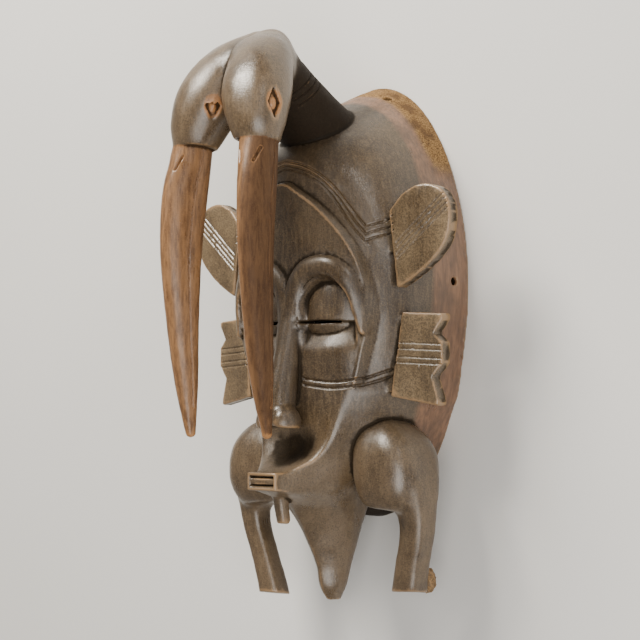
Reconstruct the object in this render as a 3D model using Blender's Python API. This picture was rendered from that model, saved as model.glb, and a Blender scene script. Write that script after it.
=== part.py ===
"""A hornbill face mask, carved from one block of wood.

It lies on the flat rim of its hollow back: +X is the wearer's left, +Y the top of the mask and +Z the way it faces.
Every form is a signed distance in metres, negative inside the wood. The forms are joined and cut on a grid of cells,
one half of the mask is mirrored, and the surface of the grid becomes the mesh. All sizes are in metres.
"""

import math

import bpy
import numpy as np
import openvdb
from mathutils import Matrix

# Shell: an oval dome with its flat rim on the plane z = 0
SHELL_HALF_WIDTH = 0.0805
SHELL_ABOVE = 0.146  # from the widest height up to the top of the rim
SHELL_BELOW = 0.164  # from the widest height down to the bottom of the rim
SHELL_DEPTH = 0.098
SHELL_SINK = 0.04  # share of the depth by which the lower face lies deeper than the forehead
RIM_WALL = 0.010
FACE_WALL = 0.016

# Face, on the front of the dome
FACE_HALF_WIDTH = 0.0615
FACE_ABOVE = 0.0855
FACE_STEP = 0.005  # from the face down to the head around it
CROWN_RISE = 0.0165  # of the forehead above the dome
CROWN_HEIGHT = 0.103
BROW_HEIGHT = 0.0045
BROW_HALF_WIDTH = 0.0072
SOCKET_DEPTH = 0.0075
EYE_OFFSET = 0.0245
EYE_HEIGHT = -0.0085
EYE_HALF_LENGTH = 0.0195
SLIT_HALF_HEIGHT = 0.0012
NOSE_FRONT = 0.1185  # of its lower end
NOSE_HALF_WIDTH = 0.0086
NOSE_WING = 0.0160
NOSE_BASE = -0.080  # height at which the nose is cut off flat

# Mouth, a small box at the front of the jaw
MOUTH_HALF_WIDTH = 0.0131
MOUTH_HALF_HEIGHT = 0.0060
MOUTH_HEIGHT = -0.1155
MOUTH_FRONT = 0.1235
MOUTH_RECESS = 0.0022
PEG_RADIUS = 0.0043
PEG_LENGTH = 0.0265

# Ears and the notched flaps below them, flat boards that stand out from the shell's sides
BOARD_THICKNESS = 0.0095
EAR_ROOT = 0.0695
EAR_REACH = 0.0475
EAR_LENGTH = 0.068
EAR_HEIGHT = 0.047
EAR_FRONT = 0.0735
FLAP_ROOT = 0.068
FLAP_REACH = 0.036
FLAP_LENGTH = 0.057
FLAP_HEIGHT = -0.032
FLAP_FRONT = 0.0664
BOARD_EMBED = 0.012  # how far a board runs into the shell

# Hips and legs beside the pointed chin
HIP_BOTTOM = -0.132
HIP_SQUARENESS = 3.0  # power of its rounding, 2 for a round one
LEG_HALF_WIDTH = 0.0084
LEG_HALF_DEPTH = 0.0084
LEG_SQUARENESS = 3.6
LEG_EXTRA = 0.0040  # by which the leg on the side of +X is thicker
CHIN_EDGE = 1.45  # power of the chin's rounding, below 2 for a keen front edge
LEG_SPREAD = 0.0633  # at the feet
FOOT_HEIGHT = -0.2000
WORN_FOOT = 0.0095  # how much shorter the foot on the side of +X is

# Neck, heads and beaks of the two birds
NECK_RADIUS = 0.0238
HEAD_HALF_WIDTH = 0.0228
HEAD_HALF_DEPTH = 0.0215
HEAD_TURN = math.radians(12)  # each head looks outward by this much
HEAD_SQUARENESS = 2.2
BEAK_HALF_WIDTH = 0.0110
BEAK_HALF_DEPTH = 0.0176
BEAK_SPREAD = 0.0345
BEAK_TOP = 0.107
BEAK_TIP = -0.087
BEAK_FORWARD = 0.160

# Holes
RIM_HOLE_RADIUS = 0.0028

# Grid and mesh
CELL = 0.0020
MARGIN = 0.006
TRIANGLES = 9400
SHARP_ANGLE = math.radians(38)
FLOOR_CUTTER_DEPTH = 0.02

MID_HEIGHT = 0.020  # where the shell is widest
WOOD_COLOUR = (0.085, 0.052, 0.034, 1.0)


def smooth_step(value):
    share = np.clip(value, 0.0, 1.0)
    return share * share * (3 - 2 * share)


def bump(distance, width):
    return np.exp(-((distance / width) ** 2))


def eased(y, stations):
    """The value at y of a smooth curve through (y, value) stations, given in rising y."""
    heights, values = np.array(stations, float).T
    slopes = np.gradient(values, heights)
    place = np.clip(np.searchsorted(heights, y) - 1, 0, len(heights) - 2)
    span = heights[place + 1] - heights[place]
    t = np.clip((y - heights[place]) / span, 0, 1)
    return (
        values[place] * (1 + 2 * t) * (1 - t) ** 2
        + values[place + 1] * t * t * (3 - 2 * t)
        + slopes[place] * span * t * (1 - t) ** 2
        - slopes[place + 1] * span * t * t * (1 - t)
    )


def through(points, steps):
    """Points of a smooth curve through the given rows, with so many steps between each two."""
    rows = np.array(points, float)
    slopes = np.gradient(rows, axis=0)
    t = (np.arange(steps) / steps)[:, None]
    spans = [
        a * (1 + 2 * t) * (1 - t) ** 2
        + b * t * t * (3 - 2 * t)
        + da * t * (1 - t) ** 2
        - db * t * t * (1 - t)
        for a, b, da, db in zip(rows, rows[1:], slopes, slopes[1:])
    ]
    return np.vstack([*spans, rows[-1:]])


def line_distance(x, y, points):
    """Distance in the x, y plane to the line through the points."""
    best = np.full(np.broadcast(x, y).shape, np.inf)
    for (ax, ay), (bx, by) in zip(points, points[1:]):
        dx, dy = bx - ax, by - ay
        t = np.clip(((x - ax) * dx + (y - ay) * dy) / (dx * dx + dy * dy), 0, 1)
        best = np.minimum(best, np.hypot(x - ax - t * dx, y - ay - t * dy))
    return best


def outline_distance(x, y, points):
    """Signed distance in the x, y plane to a closed outline, negative inside."""
    closed = [*points, points[0]]
    inside = np.zeros(np.broadcast(x, y).shape, bool)
    for (ax, ay), (bx, by) in zip(closed, closed[1:]):
        if ay == by:
            continue
        crosses = (ay > y) != (by > y)
        inside ^= crosses & (x < ax + (y - ay) * (bx - ax) / (by - ay))
    return line_distance(x, y, closed) * np.where(inside, -1, 1)


def board(flat, depth, half_thickness, rounding):
    """Signed distance to a board from its outline's distance and the depth from its middle plane."""
    a, b = flat + rounding, np.abs(depth) - half_thickness + rounding
    return np.hypot(np.maximum(a, 0), np.maximum(b, 0)) + np.minimum(np.maximum(a, b), 0) - rounding


def ellipsoid(x, y, z, centre, radii):
    scaled = [(value - c) / r for value, c, r in zip((x, y, z), centre, radii)]
    size = np.sqrt(sum(s * s for s in scaled))
    steepness = np.sqrt(sum((s / r) ** 2 for s, r in zip(scaled, radii)))
    return (size - 1) * size / np.maximum(steepness, 1e-6)


def limb(x, y, z, stations, turn, squareness=2.0):
    """Distance to a limb through rows of (x, y, z, half width, half depth), its width turned about y."""
    across = np.array([math.cos(turn), 0, -math.sin(turn)])
    best = np.full(np.broadcast(x, y, z).shape, np.inf)
    for start, end in zip(stations, stations[1:]):
        axis = end[:3] - start[:3]
        length = np.linalg.norm(axis)
        axis = axis / length
        wide = across - axis * (across @ axis)
        wide /= np.linalg.norm(wide)
        deep = np.cross(axis, wide)
        offset = [value - c for value, c in zip((x, y, z), start[:3])]
        along = sum(o * a for o, a in zip(offset, axis))
        t = np.clip(along / length, 0, 1)
        half_width = start[3] + t * (end[3] - start[3])
        half_depth = start[4] + t * (end[4] - start[4])
        cap = np.minimum(half_width, half_depth)
        u = np.abs(sum(o * w for o, w in zip(offset, wide)) / half_width)
        v = np.abs(sum(o * d for o, d in zip(offset, deep)) / half_depth)
        w = np.abs(along - t * length) / cap
        size = ((u**squareness + v**squareness) ** (2 / squareness) + w * w) ** 0.5
        best = np.minimum(best, (size - 1) * cap)
    return best


def smooth_union(a, b, blend):
    h = np.maximum(blend - np.abs(a - b), 0) / blend
    return np.minimum(a, b) - h * h * blend / 4


def smooth_cut(a, b, blend):
    return -smooth_union(-a, b, blend)


class Block:
    """The block of wood, as a grid of distances to the carved surface. A half block has x above 0 only."""

    def __init__(self, low, counts, cell, field):
        self.low, self.counts, self.cell, self.field = np.array(low, float), counts, cell, field
        self.axes = [self.low[i] + cell * np.arange(counts[i]) for i in range(3)]

    def grid(self, low, high):
        """The part of the grid inside a box: its slices, and its x, y and z."""
        parts = tuple(
            slice(*np.searchsorted(axis, (a, b))) for axis, a, b in zip(self.axes, low, high)
        )
        x, y, z = (axis[part] for axis, part in zip(self.axes, parts))
        return parts, x[:, None, None], y[None, :, None], z[None, None, :]

    def add(self, form, blend, low=(-9, -9, -9), high=(9, 9, 9)):
        parts, x, y, z = self.grid(low, high)
        self.field[parts] = smooth_union(self.field[parts], form(x, y, z), blend)

    def cut(self, form, blend, low=(-9, -9, -9), high=(9, 9, 9)):
        parts, x, y, z = self.grid(low, high)
        self.field[parts] = smooth_cut(self.field[parts], form(x, y, z), blend)

    def whole(self):
        """Both halves of a half block."""
        low = self.low - [self.cell * self.counts[0], 0, 0]
        counts = [2 * self.counts[0], *self.counts[1:]]
        return Block(low, counts, self.cell, np.concatenate([self.field[::-1], self.field]))

    def mesh(self, name):
        volume = openvdb.FloatGrid(float(self.field.max()))
        volume.copyFromArray(self.field)
        points, _, quads = volume.convertToPolygons(isovalue=0.0, adaptivity=0.0)
        mesh = bpy.data.meshes.new(name)
        mesh.from_pydata(points * self.cell + self.low, [], quads)
        mesh.update()
        return mesh


def half_block(low, high, cell):
    counts = [int(math.ceil((b - a) / cell)) for a, b in zip(low, high)]
    return Block((cell / 2, low[1], low[2]), counts, cell, np.full(counts, 1.0, np.float32))


def dome_share(x, y, half_width, above, below):
    """How far out a point is on the oval, 0 in the middle and 1 on the rim, and how steep its wall is."""
    up = (y - MID_HEIGHT) / np.where(y > MID_HEIGHT, above, below)
    across = np.abs(x) / half_width
    share = (across**1.9 + np.abs(up) ** 1.9) ** (1 / 1.9)
    upright = (up / np.maximum(share, 0.05)) ** 2
    steepness = 2.85 - np.where(up > 0, 1.85, 0.85) * np.clip(upright, 0, 1)
    return share, steepness


def dome(x, y, z, relief, half_width, above, below, depth):
    """Distance to the dome, with a relief raised on it."""
    depth = depth * (1 - SHELL_SINK * smooth_step((0.06 - y) / 0.12))
    share, steepness = dome_share(x, y, half_width, above, below)
    rise = np.maximum(z - relief, 0) / depth
    size = share**4 + rise**steepness
    value = size - 1
    slope = np.sqrt(
        (4 * share**3 / half_width) ** 2
        + (steepness * np.maximum(rise, 0.02) ** (steepness - 1) / depth) ** 2
    )
    return value / np.maximum(slope, 4.0)


def face_outline():
    """The right half of the face's edge, from the top of the forehead down to the mouth."""
    wide, above = FACE_HALF_WIDTH, FACE_ABOVE
    return through(
        [
            (0, above), (0.10 * wide, 0.985 * above), (0.23 * wide, 0.920 * above),
            (0.40 * wide, 0.825 * above),
            (0.57 * wide, 0.708 * above), (0.69 * wide, 0.612 * above), (0.79 * wide, 0.515 * above),
            (0.88 * wide, 0.403 * above), (0.943 * wide, 0.27 * above), (0.975 * wide, 0.13 * above),
            (0.99 * wide, -0.002), (0.965 * wide, -0.012), (0.935 * wide, -0.020), (0.885 * wide, -0.030),
            (0.82 * wide, -0.043), (0.77 * wide, -0.053), (0.55 * wide, -0.090),
            (0.20 * wide, MOUTH_HEIGHT),
        ],
        3,
    )


def brow_line():
    """From the nose up over the eye and down its outer side, along the middle of the brow."""
    x, y = EYE_OFFSET, EYE_HEIGHT
    return through(
        [
            (x - 0.0225, y + 0.006), (x - 0.0203, y + 0.018), (x - 0.0158, y + 0.028),
            (x - 0.0080, y + 0.035), (x + 0.0020, y + 0.0375), (x + 0.0130, y + 0.0365),
            (x + 0.0210, y + 0.031), (x + 0.0265, y + 0.0223),
            (x + 0.0300, y + 0.013), (x + 0.0318, y + 0.0015), (x + 0.0325, y - 0.0075),
        ],
        3,
    )


def eye_relief(x, y):
    """The sunk field inside the brow and the eye that bulges in it, its lids parted at the slit."""
    u, v = x - EYE_OFFSET, y - EYE_HEIGHT
    arch = 0.0305 * np.clip(1 - ((u - 0.0065) / 0.0225) ** 2, 0, 1) ** 0.42
    inside = smooth_step((arch - v) / 0.005) * smooth_step((0.0215 - np.abs(u - 0.0065)) / 0.004)
    sunk = inside * smooth_step((v + 0.022) / 0.02)
    above = np.clip(1 - ((u - 0.004) / 0.0215) ** 2 - (v / 0.0295) ** 2, 0, 1) ** 0.75
    below = np.clip(1 - (u / 0.0205) ** 2 - (v / 0.0080) ** 2, 0, 1) ** 0.75
    return SOCKET_DEPTH * (np.where(v > 0, 0.78 * above, 0.66 * below) - sunk)


def face_relief(x, y):
    """What is raised on or cut into the front of the dome, by place."""
    right = face_outline()
    left = [(-a, b) for a, b in right[:0:-1]]
    edge = outline_distance(x, y, [*right, *left])
    crown = CROWN_RISE * bump(y - CROWN_HEIGHT, 0.030) * bump(x, 0.046)
    fading = smooth_step((y + 0.058) / 0.012)
    step = -FACE_STEP * smooth_step((edge + 0.0003) / 0.0028) * fading
    lip = 0.0010 * bump(edge + 0.0012, 0.0012) * fading
    valley = -0.0025 * bump(edge - 0.008, 0.006) * smooth_step((y + 0.02) / 0.04)
    thinning = eased(
        y, [(EYE_HEIGHT - 0.012, 0.25), (EYE_HEIGHT, 0.5), (EYE_HEIGHT + 0.014, 0.75), (EYE_HEIGHT + 0.03, 1.0)]
    )
    thinning = np.where(x > EYE_OFFSET, thinning, 1.0)
    from_brow = line_distance(x, y, brow_line()) / (BROW_HALF_WIDTH * thinning)
    brow = BROW_HEIGHT * np.clip(1 - from_brow**2, 0, 1) ** 0.6
    return crown + step + lip + valley + brow + eye_relief(x, y)


def shell(x, y, z):
    relief = face_relief(x[:, :, 0], y[:, :, 0])[:, :, None]
    return dome(x, y, z, relief, SHELL_HALF_WIDTH, SHELL_ABOVE, SHELL_BELOW, SHELL_DEPTH)


def hollow(x, y, z):
    return dome(
        x, y, z, 0, SHELL_HALF_WIDTH - RIM_WALL, SHELL_ABOVE - RIM_WALL, SHELL_BELOW - RIM_WALL,
        SHELL_DEPTH - FACE_WALL,
    )


def nose(x, y, z):
    """A long ridge that grows towards its flat lower end, with rounded wings there."""
    w, front, base = NOSE_HALF_WIDTH, NOSE_FRONT, NOSE_BASE
    stations = through(
        [
            (0, 0.024, front - 0.0300, 0.95 * w, 0.80 * w),
            (0, 0.000, front - 0.0255, 1.02 * w, 0.98 * w),
            (0, -0.030, front - 0.0210, 0.95 * w, 1.15 * w),
            (0, base + 0.020, front - 0.0150, 1.02 * w, 1.30 * w),
            (0, base - 0.010, front - 0.0128, 1.05 * w, 1.28 * w),
        ],
        4,
    )
    wing = ellipsoid(
        x, y, z, (0.44 * NOSE_WING, base + 0.004, front - 0.0120), (0.56 * NOSE_WING, 0.0115, 0.0115)
    )
    return np.maximum(smooth_union(limb(x, y, z, stations, 0), wing, 0.003), base - y)


def muzzle(x, y, z):
    """The jaw that narrows forward to the mouth, with a crest on each side from the cheek to its corner."""
    crest = eased(y, [
        (-0.125, 0.0130), (-0.1125, 0.0135), (-0.1085, 0.0160), (-0.1015, 0.0240), (-0.095, 0.0285),
        (-0.0885, 0.0315), (-0.074, 0.0365), (-0.060, 0.0405), (-0.045, 0.0440),
    ])
    front = eased(y, [
        (-0.125, 0.1185), (-0.119, 0.1185), (-0.1135, 0.1175), (-0.1085, 0.1110), (-0.1015, 0.1000),
        (-0.095, 0.0945), (-0.0885, 0.0915), (-0.074, 0.0880), (-0.060, 0.0840), (-0.045, 0.0760),
    ])
    valley = eased(y, [
        (-0.1135, 0.0), (-0.106, 0.0035), (-0.098, 0.0055), (-0.085, 0.0060), (-0.060, 0.0040),
        (-0.045, 0.0),
    ])
    flare = eased(y, [(-0.125, 0.30), (-0.1125, 0.30), (-0.100, 0.20), (-0.088, 0.17), (-0.060, 0.30)])
    scooped = front - valley * np.clip(1 - (x / crest) ** 2, 0, 1)
    side = (np.abs(x) - crest - flare * (front - z)) * 0.92
    top = (z - scooped) * 0.85
    under = 0.62 * (-0.1215 - y) + 0.50 * (0.105 - z)
    behind = 0.62 * (0.055 - z) - 0.90 * (y + 0.112)
    ends = np.maximum(np.maximum(-0.1235 - y, behind), np.maximum(under - 0.012, y + 0.047))
    return -smooth_union(smooth_union(-side, -top, 0.006), -ends, 0.010)


def chin(x, y, z):
    """The wedge that runs down from the jaw to a point between the legs."""
    wide = eased(y, [
        (-0.1985, 0.0045), (-0.192, 0.0083), (-0.176, 0.0120), (-0.159, 0.0176), (-0.138, 0.0256),
        (-0.118, 0.0325), (-0.10, 0.039), (-0.08, 0.044), (-0.05, 0.050),
    ])
    front = eased(y, [
        (-0.1985, 0.0570), (-0.192, 0.0618), (-0.176, 0.0660), (-0.159, 0.0750), (-0.138, 0.0890),
        (-0.130, 0.0970), (-0.120, 0.1070), (-0.112, 0.106), (-0.10, 0.095), (-0.08, 0.084), (-0.05, 0.074),
    ])
    middle = eased(y, [
        (-0.1985, 0.0508), (-0.192, 0.0511), (-0.176, 0.0502), (-0.159, 0.0518), (-0.138, 0.0549),
        (-0.05, 0.050),
    ])
    back = eased(y, [
        (-0.1985, 0.045), (-0.192, 0.0430), (-0.176, 0.039), (-0.159, 0.0353), (-0.138, 0.031),
        (-0.05, 0.02),
    ])
    half = np.where(z > middle, front - middle, middle - back)
    rise = np.abs(z - middle) / half
    across = np.abs(x) / wide
    sharpness = eased(y, [(-0.20, CHIN_EDGE), (-0.14, CHIN_EDGE), (-0.11, 1.9), (-0.05, 2.2)])
    power = np.where(z > middle, sharpness, 2.2)
    size = (across**power + rise**power) ** (1 / power)
    body = (size - 1) * np.minimum(wide, half) * 0.8
    return np.maximum(body, np.maximum(-0.199 - y, y + 0.052))


def under_nose(x, y, z):
    """The scoop between the nose and the mouth."""
    return ellipsoid(x, y, z, (0, -0.0925, 0.121), (0.0165, 0.0130, 0.0320))


def mouth(x, y, z):
    depth = 0.018
    flat = np.maximum(np.abs(x) - MOUTH_HALF_WIDTH, np.abs(y - MOUTH_HEIGHT) - MOUTH_HALF_HEIGHT)
    return board(flat, z - MOUTH_FRONT + depth / 2, depth / 2, 0.0012)


def mouth_recess(x, y, z):
    lip = 0.0021
    beside = np.abs(x) - MOUTH_HALF_WIDTH + lip
    flat = np.maximum(beside, np.abs(y - MOUTH_HEIGHT) - MOUTH_HALF_HEIGHT + lip)
    return board(flat, z - MOUTH_FRONT, MOUTH_RECESS, 0.0006)


def peg(x, y, z):
    top = np.array([0, MOUTH_HEIGHT - 0.004, 0.104, PEG_RADIUS, PEG_RADIUS])
    end = MOUTH_HEIGHT - 0.004 - PEG_LENGTH + PEG_RADIUS
    low = np.array([0, end, 0.1015, PEG_RADIUS * 0.9, PEG_RADIUS * 0.9])
    return limb(x, y, z, [top, low], 0)


def rooted_board(x, y, z, outline, tongue, front):
    """A board with its face on the front height, and a thinner tongue that runs from it into the shell."""
    half = BOARD_THICKNESS / 2
    flat = outline_distance(x[:, :, 0], y[:, :, 0], outline)[:, :, None]
    face = board(flat, z - front + half, half, 0.0008)
    low = outline_distance(x[:, :, 0], y[:, :, 0], tongue)[:, :, None]
    root = board(low, z - front + 1.4 * half, 0.6 * half, 0.0005)
    return np.minimum(face, root)


def ear(x, y, z):
    """A leaf-shaped board with a straight root, wide at the top and pointed below."""
    root, reach, length = EAR_ROOT, EAR_REACH, EAR_LENGTH
    outline = through(
        [
            (root, EAR_HEIGHT + 0.26 * length),
            (root + 0.22 * reach, EAR_HEIGHT + 0.42 * length),
            (root + 0.50 * reach, EAR_HEIGHT + 0.50 * length),
            (root + 0.78 * reach, EAR_HEIGHT + 0.47 * length),
            (root + 0.95 * reach, EAR_HEIGHT + 0.35 * length),
            (root + 1.00 * reach, EAR_HEIGHT + 0.18 * length),
            (root + 0.93 * reach, EAR_HEIGHT - 0.06 * length),
            (root + 0.70 * reach, EAR_HEIGHT - 0.25 * length),
            (root + 0.40 * reach, EAR_HEIGHT - 0.40 * length),
            (root + 0.13 * reach, EAR_HEIGHT - 0.50 * length),
        ],
        5,
    )
    tongue = [
        (root + 0.30 * reach, EAR_HEIGHT + 0.22 * length),
        (root - BOARD_EMBED, EAR_HEIGHT + 0.16 * length),
        (root - BOARD_EMBED, EAR_HEIGHT - 0.10 * length),
        (root + 0.30 * reach, EAR_HEIGHT - 0.18 * length),
    ]
    return rooted_board(x, y, z, outline, tongue, EAR_FRONT - 0.10 * (x - root))


def flap(x, y, z):
    """A square board whose outer edge has two sharp notches."""
    root, reach, length, mid = FLAP_ROOT, FLAP_REACH, FLAP_LENGTH, FLAP_HEIGHT
    outline = [
        (root + 0.16 * reach, mid + 0.52 * length),
        (root + 0.98 * reach, mid + 0.49 * length),
        (root + 0.97 * reach, mid + 0.42 * length),
        (root + 0.80 * reach, mid + 0.26 * length),
        (root + 0.97 * reach, mid + 0.16 * length),
        (root + 0.98 * reach, mid - 0.08 * length),
        (root + 0.77 * reach, mid - 0.24 * length),
        (root + 0.90 * reach, mid - 0.52 * length),
        (root + 0.90 * reach, mid - 0.58 * length),
        (root - 0.08 * reach, mid - 0.47 * length),
    ]
    tongue = [
        (root + 0.40 * reach, mid + 0.48 * length),
        (root - BOARD_EMBED, mid + 0.48 * length),
        (root - BOARD_EMBED, mid - 0.42 * length),
        (root + 0.40 * reach, mid - 0.42 * length),
    ]
    return rooted_board(x, y, z, outline, tongue, FLAP_FRONT - 0.20 * (x - root))


def hip(x, y, z):
    """The squared haunch beside the jaw, flat below."""
    middle = eased(y, [(-0.140, 0.0590), (-0.115, 0.0590), (-0.095, 0.0570), (-0.075, 0.0510)])
    u, v, w = np.abs(x - middle) / 0.0258, np.abs(y + 0.1070) / 0.0335, np.abs(z - 0.0530) / 0.0262
    level = (u**HIP_SQUARENESS + w**HIP_SQUARENESS) ** (1 / HIP_SQUARENESS)
    size = (level**2.3 + v**2.3) ** (1 / 2.3)
    return smooth_cut((size - 1) * 0.026, (y - HIP_BOTTOM + 0.10 * (x - 0.034)) * 0.98, 0.0025)


def leg(x, y, z):
    w, d, foot = LEG_HALF_WIDTH, LEG_HALF_DEPTH, LEG_SPREAD
    stations = through(
        [
            (foot + 0.0045, -0.098, 0.0510, 1.30 * w, 1.40 * d),
            (foot + 0.0120, -0.118, 0.0515, 1.32 * w, 1.38 * d),
            (foot + 0.0130, -0.136, 0.0500, 1.12 * w, 1.18 * d),
            (foot + 0.0115, -0.153, 0.0485, 0.98 * w, 1.02 * d),
            (foot + 0.0055, -0.174, 0.0465, 0.97 * w, 0.99 * d),
            (foot - 0.0003, FOOT_HEIGHT, 0.0435, 1.10 * w, 1.08 * d),
            (foot - 0.003, FOOT_HEIGHT - 0.02, 0.042, 1.14 * w, 1.12 * d),
        ],
        4,
    )
    body = limb(x, y, z, stations, math.radians(-4), LEG_SQUARENESS)
    sole = (FOOT_HEIGHT - y) + 0.15 * (z - 0.0435) - 0.03 * (x - foot)
    return np.maximum(body, sole)


def thick_leg(x, y, z):
    """The leg on the side of +X, which is thicker on its inner side."""
    return leg(x + LEG_EXTRA, y, z)


def worn_away(x, y, z):
    """What is missing from the foot on the side of +X."""
    end = FOOT_HEIGHT + WORN_FOOT
    return np.maximum(y - end - 0.10 * (z - 0.0435) - 0.06 * (x - LEG_SPREAD), 0.03 - x)


def neck_line():
    return through(
        [
            (0, 0.1135, 0.044), (0, 0.1300, 0.074), (0, 0.1455, 0.0980), (0, 0.1575, 0.1157),
            (0, 0.1580, 0.136),
        ],
        4,
    )


def neck(x, y, z):
    r = NECK_RADIUS
    girth = through(
        [
            (1.16 * r, 1.02 * r), (1.11 * r, 0.97 * r), (1.05 * r, 0.94 * r), (0.94 * r, 0.91 * r),
            (0.70 * r, 0.80 * r),
        ],
        4,
    )
    return limb(x, y, z, np.hstack([neck_line(), girth]), 0)


def head(x, y, z):
    w, d = HEAD_HALF_WIDTH, HEAD_HALF_DEPTH
    spread, forward = BEAK_SPREAD, BEAK_FORWARD
    stations = through(
        [
            (0.14 * spread, BEAK_TOP + 0.066, forward - 0.040, 0.66 * w, 0.70 * d),
            (0.42 * spread, BEAK_TOP + 0.052, forward - 0.022, 0.90 * w, 0.88 * d),
            (0.62 * spread, BEAK_TOP + 0.033, forward - 0.010, 1.00 * w, 1.00 * d),
            (0.77 * spread, BEAK_TOP + 0.015, forward - 0.0045, 0.82 * w, 0.87 * d),
            (0.86 * spread, BEAK_TOP, forward - 0.003, 0.615 * w, 0.60 * d),
            (0.90 * spread, BEAK_TOP - 0.012, forward - 0.002, 0.52 * w, 0.50 * d),
        ],
        8,
    )
    collar = BEAK_TOP - y + 0.10 * (z - forward)
    return np.maximum(limb(x, y, z, stations, HEAD_TURN, HEAD_SQUARENESS), collar)


def beak_stations():
    w, d = BEAK_HALF_WIDTH, BEAK_HALF_DEPTH
    spread, forward = BEAK_SPREAD, BEAK_FORWARD
    length = BEAK_TOP - BEAK_TIP
    return through(
        [
            (0.88 * spread, BEAK_TOP + 0.004, forward - 0.0030, 1.10 * w, 0.74 * d),
            (0.92 * spread, BEAK_TOP - 0.07 * length, forward - 0.0005, 1.05 * w, 0.83 * d),
            (0.97 * spread, BEAK_TOP - 0.18 * length, forward + 0.0025, 0.97 * w, 0.92 * d),
            (1.00 * spread, BEAK_TOP - 0.36 * length, forward + 0.0045, 0.87 * w, 0.85 * d),
            (1.01 * spread, BEAK_TOP - 0.60 * length, forward + 0.0025, 0.78 * w, 0.65 * d),
            (1.01 * spread, BEAK_TOP - 0.80 * length, forward - 0.0010, 0.64 * w, 0.46 * d),
            (1.02 * spread, BEAK_TIP + 0.004, forward - 0.0055, 0.28 * w, 0.20 * d),
        ],
        4,
    )


def beak(x, y, z):
    return limb(x, y, z, beak_stations(), HEAD_TURN, HEAD_SQUARENESS)


def eye_slit(x, y, z):
    """A narrow slit with pointed ends, through the wall of the face."""
    u = (x - EYE_OFFSET) / EYE_HALF_LENGTH
    half_height = SLIT_HALF_HEIGHT * (1 - u * u)
    return np.maximum(np.abs(y - EYE_HEIGHT) - half_height, 0.05 - z) + 0 * z


def rim_holes():
    """Places of the holes along the shell's edge, right half, with the way each is bored."""
    return [((0.077, 0.020, 0.0155), (1.0, 0.0, 0.25)), ((0.0215, 0.1475, 0.014), (0.1, 1.0, 0.9))]


def bore(place, way):
    axis = np.array(way) / np.linalg.norm(way)

    def form(x, y, z):
        offset = [value - p for value, p in zip((x, y, z), place)]
        along = sum(o * a for o, a in zip(offset, axis))
        around = np.sqrt(np.maximum(sum(o * o for o in offset) - along**2, 0))
        return np.maximum(around - RIM_HOLE_RADIUS, np.abs(along) - 0.020)

    return form


def carve():
    low = (0, FOOT_HEIGHT - 0.006 - MARGIN, -MARGIN)
    high = (EAR_ROOT + EAR_REACH + MARGIN, BEAK_TOP + 0.085 + MARGIN, BEAK_FORWARD + 0.03 + MARGIN)
    block = half_block(low, high, CELL)
    block.add(shell, 0.001)
    block.add(nose, 0.004, high=(0.04, 0.05, 0.14))
    block.add(chin, 0.004, high=(0.08, -0.04, 0.15))
    block.add(muzzle, 0.012, high=(0.09, -0.03, 0.15))
    block.cut(under_nose, 0.006, high=(0.06, -0.06, 0.17))
    block.add(hip, 0.002, low=(0.02, -0.16, 0), high=(0.11, -0.05, 0.1))
    block.add(leg, 0.007, low=(0.03, -0.21, 0), high=(0.11, -0.06, 0.09))
    block.add(mouth, 0.003, low=(0, -0.14, 0.09), high=(0.03, -0.09, 0.14))
    block.cut(mouth_recess, 0.001, low=(0, -0.14, 0.11), high=(0.03, -0.09, 0.14))
    block.add(peg, 0.002, low=(0, -0.16, 0.08), high=(0.03, -0.10, 0.13))
    block.add(neck, 0.0015, low=(0, 0.07, 0.01), high=(0.05, 0.21, 0.18))
    block.add(head, 0.008, low=(0, 0.07, 0.09), high=(0.08, 0.21, 0.20))
    block.add(beak, 0.002, low=(0, -0.11, 0.11), high=(0.08, 0.13, 0.20))
    block.cut(hollow, 0.002)
    block.add(ear, 0.0015, low=(EAR_ROOT - 0.02, -0.01, 0.04), high=(0.13, 0.10, 0.09))
    block.add(flap, 0.0015, low=(FLAP_ROOT - 0.02, -0.08, 0.04), high=(0.13, 0.01, 0.09))
    block.cut(eye_slit, 0.001, low=(0.002, -0.03, 0.05), high=(0.06, 0.01, 0.12))
    for place, way in rim_holes():
        block.cut(bore(place, way), 0.001)
    block = block.whole()
    block.add(thick_leg, 0.005, low=(0.03, -0.21, 0), high=(0.11, -0.10, 0.09))
    block.cut(worn_away, 0.001, low=(0.03, -0.21, 0), high=(0.11, -0.16, 0.09))
    return block


def wood():
    material = bpy.data.materials.new("dark_wood")
    material.use_nodes = True
    shader = material.node_tree.nodes["Principled BSDF"]
    shader.inputs["Base Color"].default_value = WOOD_COLOUR
    shader.inputs["Roughness"].default_value = 0.42
    shader.inputs["Metallic"].default_value = 0.0
    return material


def floor_cutter():
    """The box below the plane z = 0 that cuts the rim flat."""
    bpy.ops.mesh.primitive_cube_add(size=1, location=(0, 0, -FLOOR_CUTTER_DEPTH / 2))
    box = bpy.context.object
    box.name = "floor_cutter"
    box.scale = (1, 1, FLOOR_CUTTER_DEPTH)
    bpy.ops.object.transform_apply(location=False, rotation=False, scale=True)
    box.hide_render = True
    box.display_type = "WIRE"
    return box


def centre(mesh):
    """Move the mesh along y until the middle of its length is at the origin."""
    points = np.empty(3 * len(mesh.vertices), np.float32)
    mesh.vertices.foreach_get("co", points)
    heights = points[1::3]
    mesh.transform(Matrix.Translation((0, -(float(heights.min()) + float(heights.max())) / 2, 0)))


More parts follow.
